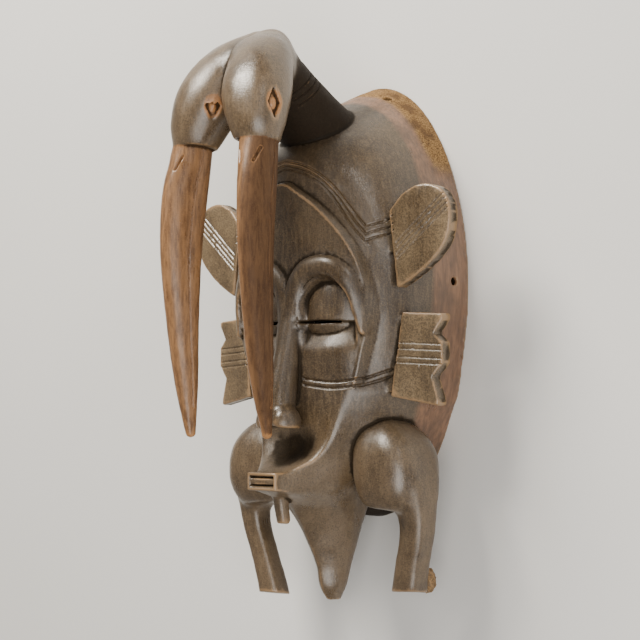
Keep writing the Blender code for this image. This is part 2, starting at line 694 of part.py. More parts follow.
def main():
    for old in list(bpy.data.objects):
        bpy.data.objects.remove(old)
    mesh = carve().mesh("hornbill_mask")
    centre(mesh)
    mask = bpy.data.objects.new("hornbill_mask", mesh)
    bpy.context.scene.collection.objects.link(mask)
    mask.data.materials.append(wood())
    triangles = 2 * len(mesh.polygons)
    thin = mask.modifiers.new("fewer_faces", "DECIMATE")
    thin.ratio = min(1.0, TRIANGLES / triangles)
    flat = mask.modifiers.new("flat_rim", "BOOLEAN")
    flat.operation = "DIFFERENCE"
    flat.object = floor_cutter()
    mask.data.shade_smooth()
    mask.data.set_sharp_from_angle(angle=SHARP_ANGLE)


main()
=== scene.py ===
import math

import bmesh
import bpy
import numpy as np
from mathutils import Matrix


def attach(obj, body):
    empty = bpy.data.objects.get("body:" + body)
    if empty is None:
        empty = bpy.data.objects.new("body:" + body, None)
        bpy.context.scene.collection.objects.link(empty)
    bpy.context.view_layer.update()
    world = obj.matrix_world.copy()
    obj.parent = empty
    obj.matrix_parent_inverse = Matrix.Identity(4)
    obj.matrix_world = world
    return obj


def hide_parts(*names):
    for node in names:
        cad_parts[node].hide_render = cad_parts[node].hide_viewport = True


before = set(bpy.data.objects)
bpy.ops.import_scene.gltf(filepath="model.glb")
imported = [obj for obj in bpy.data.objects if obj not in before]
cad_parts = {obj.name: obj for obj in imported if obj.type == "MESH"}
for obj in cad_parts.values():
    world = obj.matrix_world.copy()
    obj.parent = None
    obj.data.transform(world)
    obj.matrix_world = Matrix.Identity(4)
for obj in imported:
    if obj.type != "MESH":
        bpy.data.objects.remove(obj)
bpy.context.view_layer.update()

import openvdb
from mathutils import Matrix, Vector, kdtree
from mathutils.bvhtree import BVHTree

# The carving, in metres, with +X the wearer's left, +Y the top of the mask and +Z the way it faces. Each
# form is a distance to its surface, negative inside the wood. They are joined and cut on a grid of cells.
CELL = 0.001
MARGIN = 0.005
BODY_TRIANGLES = 100000

SHELL_HALF_WIDTH = 0.0805
SHELL_ABOVE = 0.146
SHELL_BELOW = 0.164
SHELL_DEPTH = 0.098
SHELL_SINK = 0.04
SHELL_MIDDLE = 0.02
RIM_WALL = 0.01
FACE_WALL = 0.016

FACE_HALF_WIDTH = 0.0615
FACE_ABOVE = 0.0855
FACE_STEP = 0.005
CROWN_RISE = 0.0165
CROWN_HEIGHT = 0.103
BROW_HEIGHT = 0.0045
BROW_HALF_WIDTH = 0.0072
SOCKET_DEPTH = 0.0075
EYE_OFFSET = 0.0245
EYE_HEIGHT = -0.0085
EYE_HALF_LENGTH = 0.0195
SLIT_HALF_HEIGHT = 0.0012
NOSE_FRONT = 0.1185
NOSE_HALF_WIDTH = 0.0086
NOSE_WING = 0.016
NOSE_BASE = -0.08

MOUTH_HALF_WIDTH = 0.0131
MOUTH_HALF_HEIGHT = 0.006
MOUTH_HEIGHT = -0.1155
MOUTH_FRONT = 0.1235
PEG_RADIUS = 0.0043
PEG_LENGTH = 0.0265

BOARD_THICKNESS = 0.0095
EAR_ROOT, EAR_REACH, EAR_LENGTH, EAR_HEIGHT, EAR_FRONT = 0.0695, 0.0475, 0.068, 0.047, 0.0735
FLAP_ROOT, FLAP_REACH, FLAP_LENGTH, FLAP_HEIGHT, FLAP_FRONT = 0.068, 0.036, 0.057, -0.032, 0.0664
BOARD_EMBED = 0.012

LEG_HALF_WIDTH = 0.0084
LEG_HALF_DEPTH = 0.0084
LEG_SPREAD = 0.0633
FOOT_HEIGHT = -0.2
WORN_FOOT = 0.0095
HIP_BOTTOM = -0.132
HIP_SQUARENESS = 3.0
LEG_SQUARENESS = 3.6
LEG_EXTRA = 0.004
CHIN_EDGE = 1.45

NECK_RADIUS = 0.0238
HEAD_HALF_WIDTH = 0.0228
HEAD_HALF_DEPTH = 0.0215
HEAD_TURN = math.radians(12)
HEAD_SQUARENESS = 2.2
BEAK_HALF_WIDTH = 0.011
BEAK_HALF_DEPTH = 0.0176
BEAK_SPREAD = 0.0345
BEAK_TOP = 0.107
BEAK_TIP = -0.087
BEAK_FORWARD = 0.16
RIM_HOLE_RADIUS = 0.0028


# Curves and distances

def smooth_step(value):
    share = np.clip(value, 0.0, 1.0)
    return share * share * (3 - 2 * share)


def bump(distance, width):
    return np.exp(-((distance / width) ** 2))


def hermite(t, a, b, slope_a, slope_b):
    """The smooth curve from a to b, with the slope it has at each, for t from 0 to 1."""
    ends = a * (1 + 2 * t) * (1 - t) ** 2 + b * t * t * (3 - 2 * t)
    return ends + slope_a * t * (1 - t) ** 2 - slope_b * t * t * (1 - t)


def eased(y, stations):
    heights, values = np.array(stations, float).T
    slopes = np.gradient(values, heights)
    place = np.clip(np.searchsorted(heights, y) - 1, 0, len(heights) - 2)
    span = heights[place + 1] - heights[place]
    t = np.clip((y - heights[place]) / span, 0, 1)
    return hermite(t, values[place], values[place + 1], slopes[place] * span, slopes[place + 1] * span)


def through(points, steps):
    rows = np.array(points, float)
    slopes = np.gradient(rows, axis=0)
    t = (np.arange(steps) / steps)[:, None]
    spans = [hermite(t, *ends) for ends in zip(rows, rows[1:], slopes, slopes[1:])]
    return np.vstack([*spans, rows[-1:]])


def line_distance(x, y, points):
    best = np.full(np.broadcast(x, y).shape, np.inf)
    for (ax, ay), (bx, by) in zip(points, points[1:]):
        dx, dy = bx - ax, by - ay
        t = np.clip(((x - ax) * dx + (y - ay) * dy) / (dx * dx + dy * dy), 0, 1)
        best = np.minimum(best, np.hypot(x - ax - t * dx, y - ay - t * dy))
    return best


def outline_distance(x, y, points):
    closed = [*points, points[0]]
    inside = np.zeros(np.broadcast(x, y).shape, bool)
    for (ax, ay), (bx, by) in zip(closed, closed[1:]):
        if ay == by:
            continue
        crosses = (ay > y) != (by > y)
        inside ^= crosses & (x < ax + (y - ay) * (bx - ax) / (by - ay))
    return line_distance(x, y, closed) * np.where(inside, -1, 1)


def board(flat, depth, half_thickness, rounding):
    a, b = flat + rounding, np.abs(depth) - half_thickness + rounding
    return np.hypot(np.maximum(a, 0), np.maximum(b, 0)) + np.minimum(np.maximum(a, b), 0) - rounding


def ellipsoid(x, y, z, centre, radii):
    scaled = [(value - c) / r for value, c, r in zip((x, y, z), centre, radii)]
    size = np.sqrt(sum(s * s for s in scaled))
    steepness = np.sqrt(sum((s / r) ** 2 for s, r in zip(scaled, radii)))
    return (size - 1) * size / np.maximum(steepness, 1e-6)


def limb(x, y, z, stations, turn, squareness=2.0):
    across = np.array([math.cos(turn), 0, -math.sin(turn)])
    best = np.full(np.broadcast(x, y, z).shape, np.inf)
    for start, end in zip(stations, stations[1:]):
        axis = end[:3] - start[:3]
        length = np.linalg.norm(axis)
        axis = axis / length
        wide = across - axis * (across @ axis)
        wide /= np.linalg.norm(wide)
        deep = np.cross(axis, wide)
        offset = [value - c for value, c in zip((x, y, z), start[:3])]
        along = sum(o * a for o, a in zip(offset, axis))
        t = np.clip(along / length, 0, 1)
        half_width = start[3] + t * (end[3] - start[3])
        half_depth = start[4] + t * (end[4] - start[4])
        cap = np.minimum(half_width, half_depth)
        u = np.abs(sum(o * w for o, w in zip(offset, wide)) / half_width)
        v = np.abs(sum(o * d for o, d in zip(offset, deep)) / half_depth)
        w = np.abs(along - t * length) / cap
        size = ((u**squareness + v**squareness) ** (2 / squareness) + w * w) ** 0.5
        best = np.minimum(best, (size - 1) * cap)
    return best


def smooth_union(a, b, blend):
    h = np.maximum(blend - np.abs(a - b), 0) / blend
    return np.minimum(a, b) - h * h * blend / 4


def smooth_cut(a, b, blend):
    return -smooth_union(-a, b, blend)


EVERYWHERE = ((-9, -9, -9), (9, 9, 9))


class Block:
    """The block of wood, as a grid of distances to the carved surface. A half block has x above 0 only."""

    def __init__(self, low, counts, cell, field):
        self.low, self.counts, self.cell, self.field = np.array(low, float), counts, cell, field
        self.axes = [self.low[i] + cell * np.arange(counts[i]) for i in range(3)]

    def grid(self, low, high):
        parts = tuple(slice(*np.searchsorted(axis, (a, b))) for axis, a, b in zip(self.axes, low, high))
        x, y, z = (axis[part] for axis, part in zip(self.axes, parts))
        return parts, x[:, None, None], y[None, :, None], z[None, None, :]

    def add(self, form, blend, low=EVERYWHERE[0], high=EVERYWHERE[1]):
        parts, x, y, z = self.grid(low, high)
        self.field[parts] = smooth_union(self.field[parts], form(x, y, z), blend)

    def cut(self, form, blend, low=EVERYWHERE[0], high=EVERYWHERE[1]):
        parts, x, y, z = self.grid(low, high)
        self.field[parts] = smooth_cut(self.field[parts], form(x, y, z), blend)

    def whole(self):
        low = self.low - [self.cell * self.counts[0], 0, 0]
        counts = [2 * self.counts[0], *self.counts[1:]]
        return Block(low, counts, self.cell, np.concatenate([self.field[::-1], self.field]))

    def mesh(self, name):
        volume = openvdb.FloatGrid(float(self.field.max()))
        volume.copyFromArray(self.field)
        points, _, quads = volume.convertToPolygons(isovalue=0.0, adaptivity=0.0)
        mesh = bpy.data.meshes.new(name)
        mesh.from_pydata(points * self.cell + self.low, [], quads)
        mesh.update()
        return mesh


def half_block(low, high, cell):
    counts = [int(math.ceil((b - a) / cell)) for a, b in zip(low, high)]
    return Block((cell / 2, low[1], low[2]), counts, cell, np.full(counts, 1.0, np.float32))


# The shell and the face on it

def dome(x, y, z, relief, half_width, above, below, depth):
    depth = depth * (1 - SHELL_SINK * smooth_step((0.06 - y) / 0.12))
    up = (y - SHELL_MIDDLE) / np.where(y > SHELL_MIDDLE, above, below)
    share = ((np.abs(x) / half_width) ** 1.9 + np.abs(up) ** 1.9) ** (1 / 1.9)
    upright = np.clip((up / np.maximum(share, 0.05)) ** 2, 0, 1)
    steepness = 2.85 - np.where(up > 0, 1.85, 0.85) * upright
    rise = np.maximum(z - relief, 0) / depth
    value = share**4 + rise**steepness - 1
    slope = np.hypot(
        4 * share**3 / half_width,
        steepness * np.maximum(rise, 0.02) ** (steepness - 1) / depth,
    )
    return value / np.maximum(slope, 4.0)


def face_outline():
    """The right half of the face's edge, from the top of the forehead down to the mouth."""
    wide, above = FACE_HALF_WIDTH, FACE_ABOVE
    return through(
        [
            (0, above), (0.1 * wide, 0.985 * above), (0.23 * wide, 0.92 * above),
            (0.4 * wide, 0.825 * above), (0.57 * wide, 0.708 * above), (0.69 * wide, 0.612 * above),
            (0.79 * wide, 0.515 * above), (0.88 * wide, 0.403 * above), (0.943 * wide, 0.27 * above),
            (0.975 * wide, 0.13 * above), (0.99 * wide, -0.002), (0.965 * wide, -0.012),
            (0.935 * wide, -0.02), (0.885 * wide, -0.03), (0.82 * wide, -0.043), (0.77 * wide, -0.053),
            (0.55 * wide, -0.09), (0.2 * wide, MOUTH_HEIGHT),
        ],
        3,
    )


def brow_line():
    """From the nose up over the eye and down its outer side, along the middle of the brow."""
    x, y = EYE_OFFSET, EYE_HEIGHT
    return through(
        [
            (x - 0.0225, y + 0.006), (x - 0.0203, y + 0.018), (x - 0.0158, y + 0.028),
            (x - 0.008, y + 0.035), (x + 0.002, y + 0.0375), (x + 0.013, y + 0.0365),
            (x + 0.021, y + 0.031), (x + 0.0265, y + 0.0223), (x + 0.03, y + 0.013),
            (x + 0.0318, y + 0.0015), (x + 0.0325, y - 0.0075),
        ],
        3,
    )


def eye_relief(x, y):
    """The sunk field inside the brow and the eye that bulges in it, its lids parted at the slit."""
    u, v = x - EYE_OFFSET, y - EYE_HEIGHT
    arch = 0.0305 * np.clip(1 - ((u - 0.0065) / 0.0225) ** 2, 0, 1) ** 0.42
    inside = smooth_step((arch - v) / 0.005) * smooth_step((0.0215 - np.abs(u - 0.0065)) / 0.004)
    sunk = inside * smooth_step((v + 0.022) / 0.02)
    above = np.clip(1 - ((u - 0.004) / 0.0215) ** 2 - (v / 0.0295) ** 2, 0, 1) ** 0.75
    below = np.clip(1 - (u / 0.0205) ** 2 - (v / 0.008) ** 2, 0, 1) ** 0.75
    return SOCKET_DEPTH * (np.where(v > 0, 0.78 * above, 0.66 * below) - sunk)


def face_relief(x, y):
    """What is raised on or cut into the front of the dome, by place."""
    right = face_outline()
    left = [(-a, b) for a, b in right[:0:-1]]
    edge = outline_distance(x, y, [*right, *left])
    crown = CROWN_RISE * bump(y - CROWN_HEIGHT, 0.03) * bump(x, 0.046)
    fading = smooth_step((y + 0.058) / 0.012)
    step = -FACE_STEP * smooth_step((edge + 0.0003) / 0.0022) * fading
    lip = 0.0009 * bump(edge + 0.001, 0.0009) * fading
    valley = -0.0025 * bump(edge - 0.008, 0.006) * smooth_step((y + 0.02) / 0.04)
    thinning = eased(y, [
        (EYE_HEIGHT - 0.012, 0.25), (EYE_HEIGHT, 0.5), (EYE_HEIGHT + 0.014, 0.75),
        (EYE_HEIGHT + 0.03, 1.0),
    ])
    thinning = np.where(x > EYE_OFFSET, thinning, 1.0)
    from_brow = line_distance(x, y, brow_line()) / (BROW_HALF_WIDTH * thinning)
    brow = BROW_HEIGHT * np.clip(1 - from_brow**2, 0, 1) ** 0.6
    return crown + step + lip + valley + brow + eye_relief(x, y)


def shell(x, y, z):
    relief = face_relief(x, y)
    return dome(x, y, z, relief, SHELL_HALF_WIDTH, SHELL_ABOVE, SHELL_BELOW, SHELL_DEPTH)


def hollow(x, y, z):
    return dome(
        x, y, z, 0, SHELL_HALF_WIDTH - RIM_WALL, SHELL_ABOVE - RIM_WALL, SHELL_BELOW - RIM_WALL,
        SHELL_DEPTH - FACE_WALL,
    )


def nose(x, y, z):
    """A long ridge that grows towards its flat lower end, with rounded wings there."""
    w, front, base = NOSE_HALF_WIDTH, NOSE_FRONT, NOSE_BASE
    stations = through(
        [
            (0, 0.024, front - 0.03, 0.95 * w, 0.8 * w),
            (0, 0.0, front - 0.0255, 1.02 * w, 0.98 * w),
            (0, -0.03, front - 0.021, 0.95 * w, 1.15 * w),
            (0, base + 0.02, front - 0.015, 1.02 * w, 1.3 * w),
            (0, base - 0.01, front - 0.0128, 1.05 * w, 1.28 * w),
        ],
        4,
    )
    wing = ellipsoid(
        x, y, z, (0.44 * NOSE_WING, base + 0.004, front - 0.012), (0.56 * NOSE_WING, 0.0115, 0.0115)
    )
    return np.maximum(smooth_union(limb(x, y, z, stations, 0), wing, 0.003), base - y)


# Jaw, mouth and pointed chin

def muzzle(x, y, z):
    """The jaw that narrows forward to the mouth, with a crest on each side from the cheek to its corner."""
    crest = eased(y, [
        (-0.125, 0.013), (-0.1125, 0.0135), (-0.1085, 0.016), (-0.1015, 0.024), (-0.095, 0.0285),
        (-0.0885, 0.0315), (-0.074, 0.0365), (-0.06, 0.0405), (-0.045, 0.044),
    ])
    front = eased(y, [
        (-0.125, 0.1185), (-0.119, 0.1185), (-0.1135, 0.1175), (-0.1085, 0.111), (-0.1015, 0.1),
        (-0.095, 0.0945), (-0.0885, 0.0915), (-0.074, 0.088), (-0.06, 0.084), (-0.045, 0.076),
    ])
    valley = eased(y, [
        (-0.1135, 0.0), (-0.106, 0.0035), (-0.098, 0.0055), (-0.085, 0.006), (-0.06, 0.004),
        (-0.045, 0.0),
    ])
    flare = eased(y, [(-0.125, 0.3), (-0.1125, 0.3), (-0.1, 0.2), (-0.088, 0.17), (-0.06, 0.3)])
    scooped = front - valley * np.clip(1 - (x / crest) ** 2, 0, 1)
    side = (np.abs(x) - crest - flare * (front - z)) * 0.92
    top = (z - scooped) * 0.85
    under = 0.62 * (-0.1215 - y) + 0.5 * (0.105 - z)
    behind = 0.62 * (0.055 - z) - 0.9 * (y + 0.112)
    ends = np.maximum(np.maximum(-0.1235 - y, behind), np.maximum(under - 0.012, y + 0.047))
    return -smooth_union(smooth_union(-side, -top, 0.006), -ends, 0.01)


def chin(x, y, z):
    """The wedge that runs down from the jaw to a point between the legs."""
    wide = eased(y, [
        (-0.1985, 0.0045), (-0.192, 0.0083), (-0.176, 0.012), (-0.159, 0.0176), (-0.138, 0.0256),
        (-0.118, 0.0325), (-0.1, 0.039), (-0.08, 0.044), (-0.05, 0.05),
    ])
    front = eased(y, [
        (-0.1985, 0.057), (-0.192, 0.0618), (-0.176, 0.066), (-0.159, 0.075), (-0.138, 0.089),
        (-0.13, 0.097), (-0.12, 0.107), (-0.112, 0.106), (-0.1, 0.095), (-0.08, 0.084), (-0.05, 0.074),
    ])
    middle = eased(y, [
        (-0.1985, 0.0508), (-0.192, 0.0511), (-0.176, 0.0502), (-0.159, 0.0518), (-0.138, 0.0549),
        (-0.05, 0.05),
    ])
    back = eased(y, [
        (-0.1985, 0.045), (-0.192, 0.043), (-0.176, 0.039), (-0.159, 0.0353), (-0.138, 0.031),
        (-0.05, 0.02),
    ])
    half = np.where(z > middle, front - middle, middle - back)
    rise = np.abs(z - middle) / half
    across = np.abs(x) / wide
    sharpness = eased(y, [(-0.2, CHIN_EDGE), (-0.14, CHIN_EDGE), (-0.11, 1.9), (-0.05, 2.2)])
    power = np.where(z > middle, sharpness, 2.2)
    size = (across**power + rise**power) ** (1 / power)
    body = (size - 1) * np.minimum(wide, half) * 0.8
    return np.maximum(body, np.maximum(-0.199 - y, y + 0.052))


def under_nose(x, y, z):
    """The scoop between the nose and the mouth."""
    return ellipsoid(x, y, z, (0, -0.0925, 0.121), (0.0165, 0.013, 0.032))


def mouth_flat(x, y, lip=0):
    """The mouth seen from in front, less its lip."""
    above = np.abs(y - MOUTH_HEIGHT) - MOUTH_HALF_HEIGHT + lip
    return np.maximum(np.abs(x) - MOUTH_HALF_WIDTH + lip, above)


def mouth(x, y, z):
    depth = 0.018
    flat = mouth_flat(x, y)
    return board(flat, z - MOUTH_FRONT + depth / 2, depth / 2, 0.0012)


def mouth_recess(x, y, z):
    return board(mouth_flat(x, y, 0.002), z - MOUTH_FRONT, 0.0011, 0.0004)


def mouth_gap(x, y, z):
    """The two dark lines above and below the row of teeth."""
    height = np.minimum(np.abs(y - MOUTH_HEIGHT - 0.0029), np.abs(y - MOUTH_HEIGHT + 0.0024)) - 0.0006
    return board(np.maximum(np.abs(x) - MOUTH_HALF_WIDTH + 0.0024, height), z - MOUTH_FRONT, 0.0042, 0.0002)


def peg(x, y, z):
    root, depth = MOUTH_HEIGHT - 0.004, 0.1015
    top = np.array([0, root, 0.106, PEG_RADIUS * 1.15, PEG_RADIUS * 1.15])
    low = np.array([0, root - PEG_LENGTH + PEG_RADIUS, depth, PEG_RADIUS, PEG_RADIUS])
    end = root - PEG_LENGTH + 0.0015 - y + 0.12 * (z - depth)
    return np.maximum(limb(x, y, z, [top, low], 0, 2.6), end)


# Ears and notched flaps

def rooted_board(x, y, z, outline, tongue, front):
    half = BOARD_THICKNESS / 2
    face = board(outline_distance(x, y, outline), z - front + half, half, 0.0008)
    root = board(outline_distance(x, y, tongue), z - front + 1.4 * half, 0.6 * half, 0.0005)
    return np.minimum(face, root)


def ear_outline():
    root, reach, length = EAR_ROOT, EAR_REACH, EAR_LENGTH
    places = [
        (0.0, 0.26), (0.22, 0.42), (0.5, 0.5), (0.78, 0.47), (0.95, 0.35), (1.0, 0.18), (0.93, -0.06),
        (0.7, -0.25), (0.4, -0.4), (0.13, -0.5),
    ]
    return through([(root + a * reach, EAR_HEIGHT + b * length) for a, b in places], 5)


def ear(x, y, z):
    root, reach, length = EAR_ROOT, EAR_REACH, EAR_LENGTH
    inner, outer = root - BOARD_EMBED, root + 0.3 * reach
    corners = [(outer, 0.22), (inner, 0.16), (inner, -0.1), (outer, -0.18)]
    tongue = [(a, EAR_HEIGHT + b * length) for a, b in corners]
    return rooted_board(x, y, z, ear_outline(), tongue, EAR_FRONT - 0.1 * (x - root))


def flap(x, y, z):
    """A square board whose outer edge has two sharp notches."""
    root, reach, length, mid = FLAP_ROOT, FLAP_REACH, FLAP_LENGTH, FLAP_HEIGHT
    places = [
        (0.16, 0.52), (0.98, 0.49), (0.97, 0.42), (0.8, 0.26), (0.97, 0.16), (0.98, -0.08), (0.77, -0.24),
        (0.9, -0.52), (0.9, -0.58), (-0.08, -0.47),
    ]
    corners = [(0.4, 0.48), (-0.33, 0.48), (-0.33, -0.42), (0.4, -0.42)]
    outline, tongue = ([(root + a * reach, mid + b * length) for a, b in row] for row in (places, corners))
    return rooted_board(x, y, z, outline, tongue, FLAP_FRONT - 0.2 * (x - root))


# Hips and legs

def hip(x, y, z):
    """The squared haunch beside the jaw, flat below."""
    middle = eased(y, [(-0.14, 0.059), (-0.115, 0.059), (-0.095, 0.057), (-0.075, 0.051)])
    u, v, w = np.abs(x - middle) / 0.0258, np.abs(y + 0.107) / 0.0335, np.abs(z - 0.053) / 0.0262
    level = (u**HIP_SQUARENESS + w**HIP_SQUARENESS) ** (1 / HIP_SQUARENESS)
    size = (level**2.3 + v**2.3) ** (1 / 2.3)
    return smooth_cut((size - 1) * 0.026, (y - HIP_BOTTOM + 0.1 * (x - 0.034)) * 0.98, 0.0025)


def leg(x, y, z):
    w, d, foot = LEG_HALF_WIDTH, LEG_HALF_DEPTH, LEG_SPREAD
    stations = through(
        [
            (foot + 0.0045, -0.098, 0.051, 1.3 * w, 1.4 * d),
            (foot + 0.012, -0.118, 0.0515, 1.32 * w, 1.38 * d),
            (foot + 0.013, -0.136, 0.05, 1.12 * w, 1.18 * d),
            (foot + 0.0115, -0.153, 0.0485, 0.98 * w, 1.02 * d),
            (foot + 0.0055, -0.174, 0.0465, 0.97 * w, 0.99 * d),
            (foot - 0.0003, FOOT_HEIGHT, 0.0435, 1.1 * w, 1.08 * d),
            (foot - 0.003, FOOT_HEIGHT - 0.02, 0.042, 1.14 * w, 1.12 * d),
        ],
        4,
    )
    body = limb(x, y, z, stations, math.radians(-4), LEG_SQUARENESS)
    sole = (FOOT_HEIGHT - y) + 0.15 * (z - 0.0435) - 0.03 * (x - foot)
    return np.maximum(body, sole)


def thick_leg(x, y, z):
    """The leg on the side of +X, which is thicker on its inner side."""
    return leg(x + LEG_EXTRA, y, z)


def worn_away(x, y, z):
    """What is missing from the foot on the side of +X."""
    end = FOOT_HEIGHT + WORN_FOOT
    return np.maximum(y - end - 0.1 * (z - 0.0435) - 0.06 * (x - LEG_SPREAD), 0.03 - x)


def splintered_stub(x, y, z):
    """The rough remains of wood behind that foot."""
    rough = 0.0009 * np.sin(x * 1900 + 3 * np.sin(y * 900)) * np.sin(z * 1700 + y * 1300)
    return ellipsoid(x, y, z, (0.069, -0.183, 0.0315), (0.005, 0.0085, 0.0055)) + rough


# Neck, heads and beaks

def neck_line():
    rows = [(0.1135, 0.044), (0.13, 0.074), (0.1455, 0.098), (0.1575, 0.1157), (0.158, 0.136)]
    return through([(0, y, z) for y, z in rows], 4)


def neck(x, y, z):
    shares = [(1.16, 1.02), (1.11, 0.97), (1.05, 0.94), (0.94, 0.91), (0.7, 0.8)]
    girth = through([(wide * NECK_RADIUS, deep * NECK_RADIUS) for wide, deep in shares], 4)
    return limb(x, y, z, np.hstack([neck_line(), girth]), 0)


def head(x, y, z):
    w, d = HEAD_HALF_WIDTH, HEAD_HALF_DEPTH
    spread, forward = BEAK_SPREAD, BEAK_FORWARD
    stations = through(
        [
            (0.14 * spread, BEAK_TOP + 0.066, forward - 0.04, 0.66 * w, 0.7 * d),
            (0.42 * spread, BEAK_TOP + 0.052, forward - 0.022, 0.9 * w, 0.88 * d),
            (0.62 * spread, BEAK_TOP + 0.033, forward - 0.01, 1.0 * w, 1.0 * d),
            (0.77 * spread, BEAK_TOP + 0.015, forward - 0.0045, 0.82 * w, 0.87 * d),
            (0.86 * spread, BEAK_TOP, forward - 0.003, 0.615 * w, 0.6 * d),
            (0.9 * spread, BEAK_TOP - 0.012, forward - 0.002, 0.52 * w, 0.5 * d),
        ],
        8,
    )
    collar = BEAK_TOP - y + 0.1 * (z - forward)
    return np.maximum(limb(x, y, z, stations, HEAD_TURN, HEAD_SQUARENESS), collar)


def beak_stations():
    w, d = BEAK_HALF_WIDTH, BEAK_HALF_DEPTH
    spread, forward = BEAK_SPREAD, BEAK_FORWARD
    length = BEAK_TOP - BEAK_TIP
    return through(
        [
            (0.88 * spread, BEAK_TOP + 0.004, forward - 0.003, 1.1 * w, 0.74 * d),
            (0.92 * spread, BEAK_TOP - 0.07 * length, forward - 0.0005, 1.05 * w, 0.83 * d),
            (0.97 * spread, BEAK_TOP - 0.18 * length, forward + 0.0025, 0.97 * w, 0.92 * d),
            (1.0 * spread, BEAK_TOP - 0.36 * length, forward + 0.0045, 0.87 * w, 0.85 * d),
            (1.01 * spread, BEAK_TOP - 0.6 * length, forward + 0.0025, 0.78 * w, 0.65 * d),
            (1.01 * spread, BEAK_TOP - 0.8 * length, forward - 0.001, 0.64 * w, 0.46 * d),
            (1.02 * spread, BEAK_TIP + 0.004, forward - 0.0055, 0.28 * w, 0.2 * d),
        ],
        4,
    )


def beak(x, y, z):
    return limb(x, y, z, beak_stations(), HEAD_TURN, HEAD_SQUARENESS)


SIDEWAYS = np.array([math.cos(HEAD_TURN), 0, -math.sin(HEAD_TURN)])
FORWARD = np.array([math.sin(HEAD_TURN), 0, math.cos(HEAD_TURN)])


def bird_eyes():
    """The middle of the outer and the inner eye of one head, and the way each looks."""
    centre = np.array([0.0235, 0.13, 0.1547])
    outer = centre + 0.0192 * SIDEWAYS + 0.007 * FORWARD
    inner = centre - 0.019 * SIDEWAYS + 0.005 * FORWARD + np.array([0, 0.0025, 0])
    return [(outer, (SIDEWAYS + 0.3 * FORWARD)), (inner, (-SIDEWAYS + 0.4 * FORWARD))]


def bird_eye(place, way):
    """The distance along the look, and the place across it, of points near one eye."""
    way = way / np.linalg.norm(way)
    flat = np.cross([0, 1, 0], way)

    def local(x, y, z):
        offset = [value - p for value, p in zip((x, y, z), place)]
        return [sum(o * a for o, a in zip(offset, axis)) for axis in (flat, (0, 1, 0), way)]

    def socket(x, y, z):
        u, v, w = local(x, y, z)
        rhomb = (np.abs(u) / 0.005 + np.abs(v) / 0.0105 - 1) * 0.0042
        return board(rhomb, w, 0.0013, 0.0004)

    def pupil(x, y, z):
        u, v, w = local(x, y, z)
        return ellipsoid(u, v, w, (0, -0.0002, -0.0016), (0.0027, 0.0046, 0.0022))

    return socket, pupil


def eye_slit(x, y, z):
    """A narrow slit with pointed ends, through the wall of the face."""
    u = (x - EYE_OFFSET) / EYE_HALF_LENGTH
    half_height = SLIT_HALF_HEIGHT * (1 - u * u)
    return np.maximum(np.abs(y - EYE_HEIGHT) - half_height, 0.05 - z)


def rim_holes():
    """Places of the holes along the shell's edge, right half, with the way each is bored."""
    return [((0.077, 0.02, 0.0155), (1.0, 0.0, 0.25)), ((0.0215, 0.1475, 0.014), (0.1, 1.0, 0.9))]


def bore(place, way):
    axis = np.array(way) / np.linalg.norm(way)

    def form(x, y, z):
        offset = [value - p for value, p in zip((x, y, z), place)]
        along = sum(o * a for o, a in zip(offset, axis))
        around = np.sqrt(np.maximum(sum(o * o for o in offset) - along**2, 0))
        return np.maximum(around - RIM_HOLE_RADIUS, np.abs(along) - 0.02)

    return form


def hand_cut(block):
    """The slight unevenness that the blade leaves everywhere."""
    _, x, y, z = block.grid(*EVERYWHERE)
    wave = np.sin(310 * x + 2.1 * np.sin(190 * y)) * np.sin(240 * z + 1.7) * np.sin(170 * y + 90 * x)
    fine = np.sin(830 * x + 1.3 * np.sin(410 * y + 3)) * np.sin(700 * z + 350 * y) * np.sin(260 * y - 1.0)
    block.field += (0.00013 * wave + 0.00003 * fine).astype(np.float32)


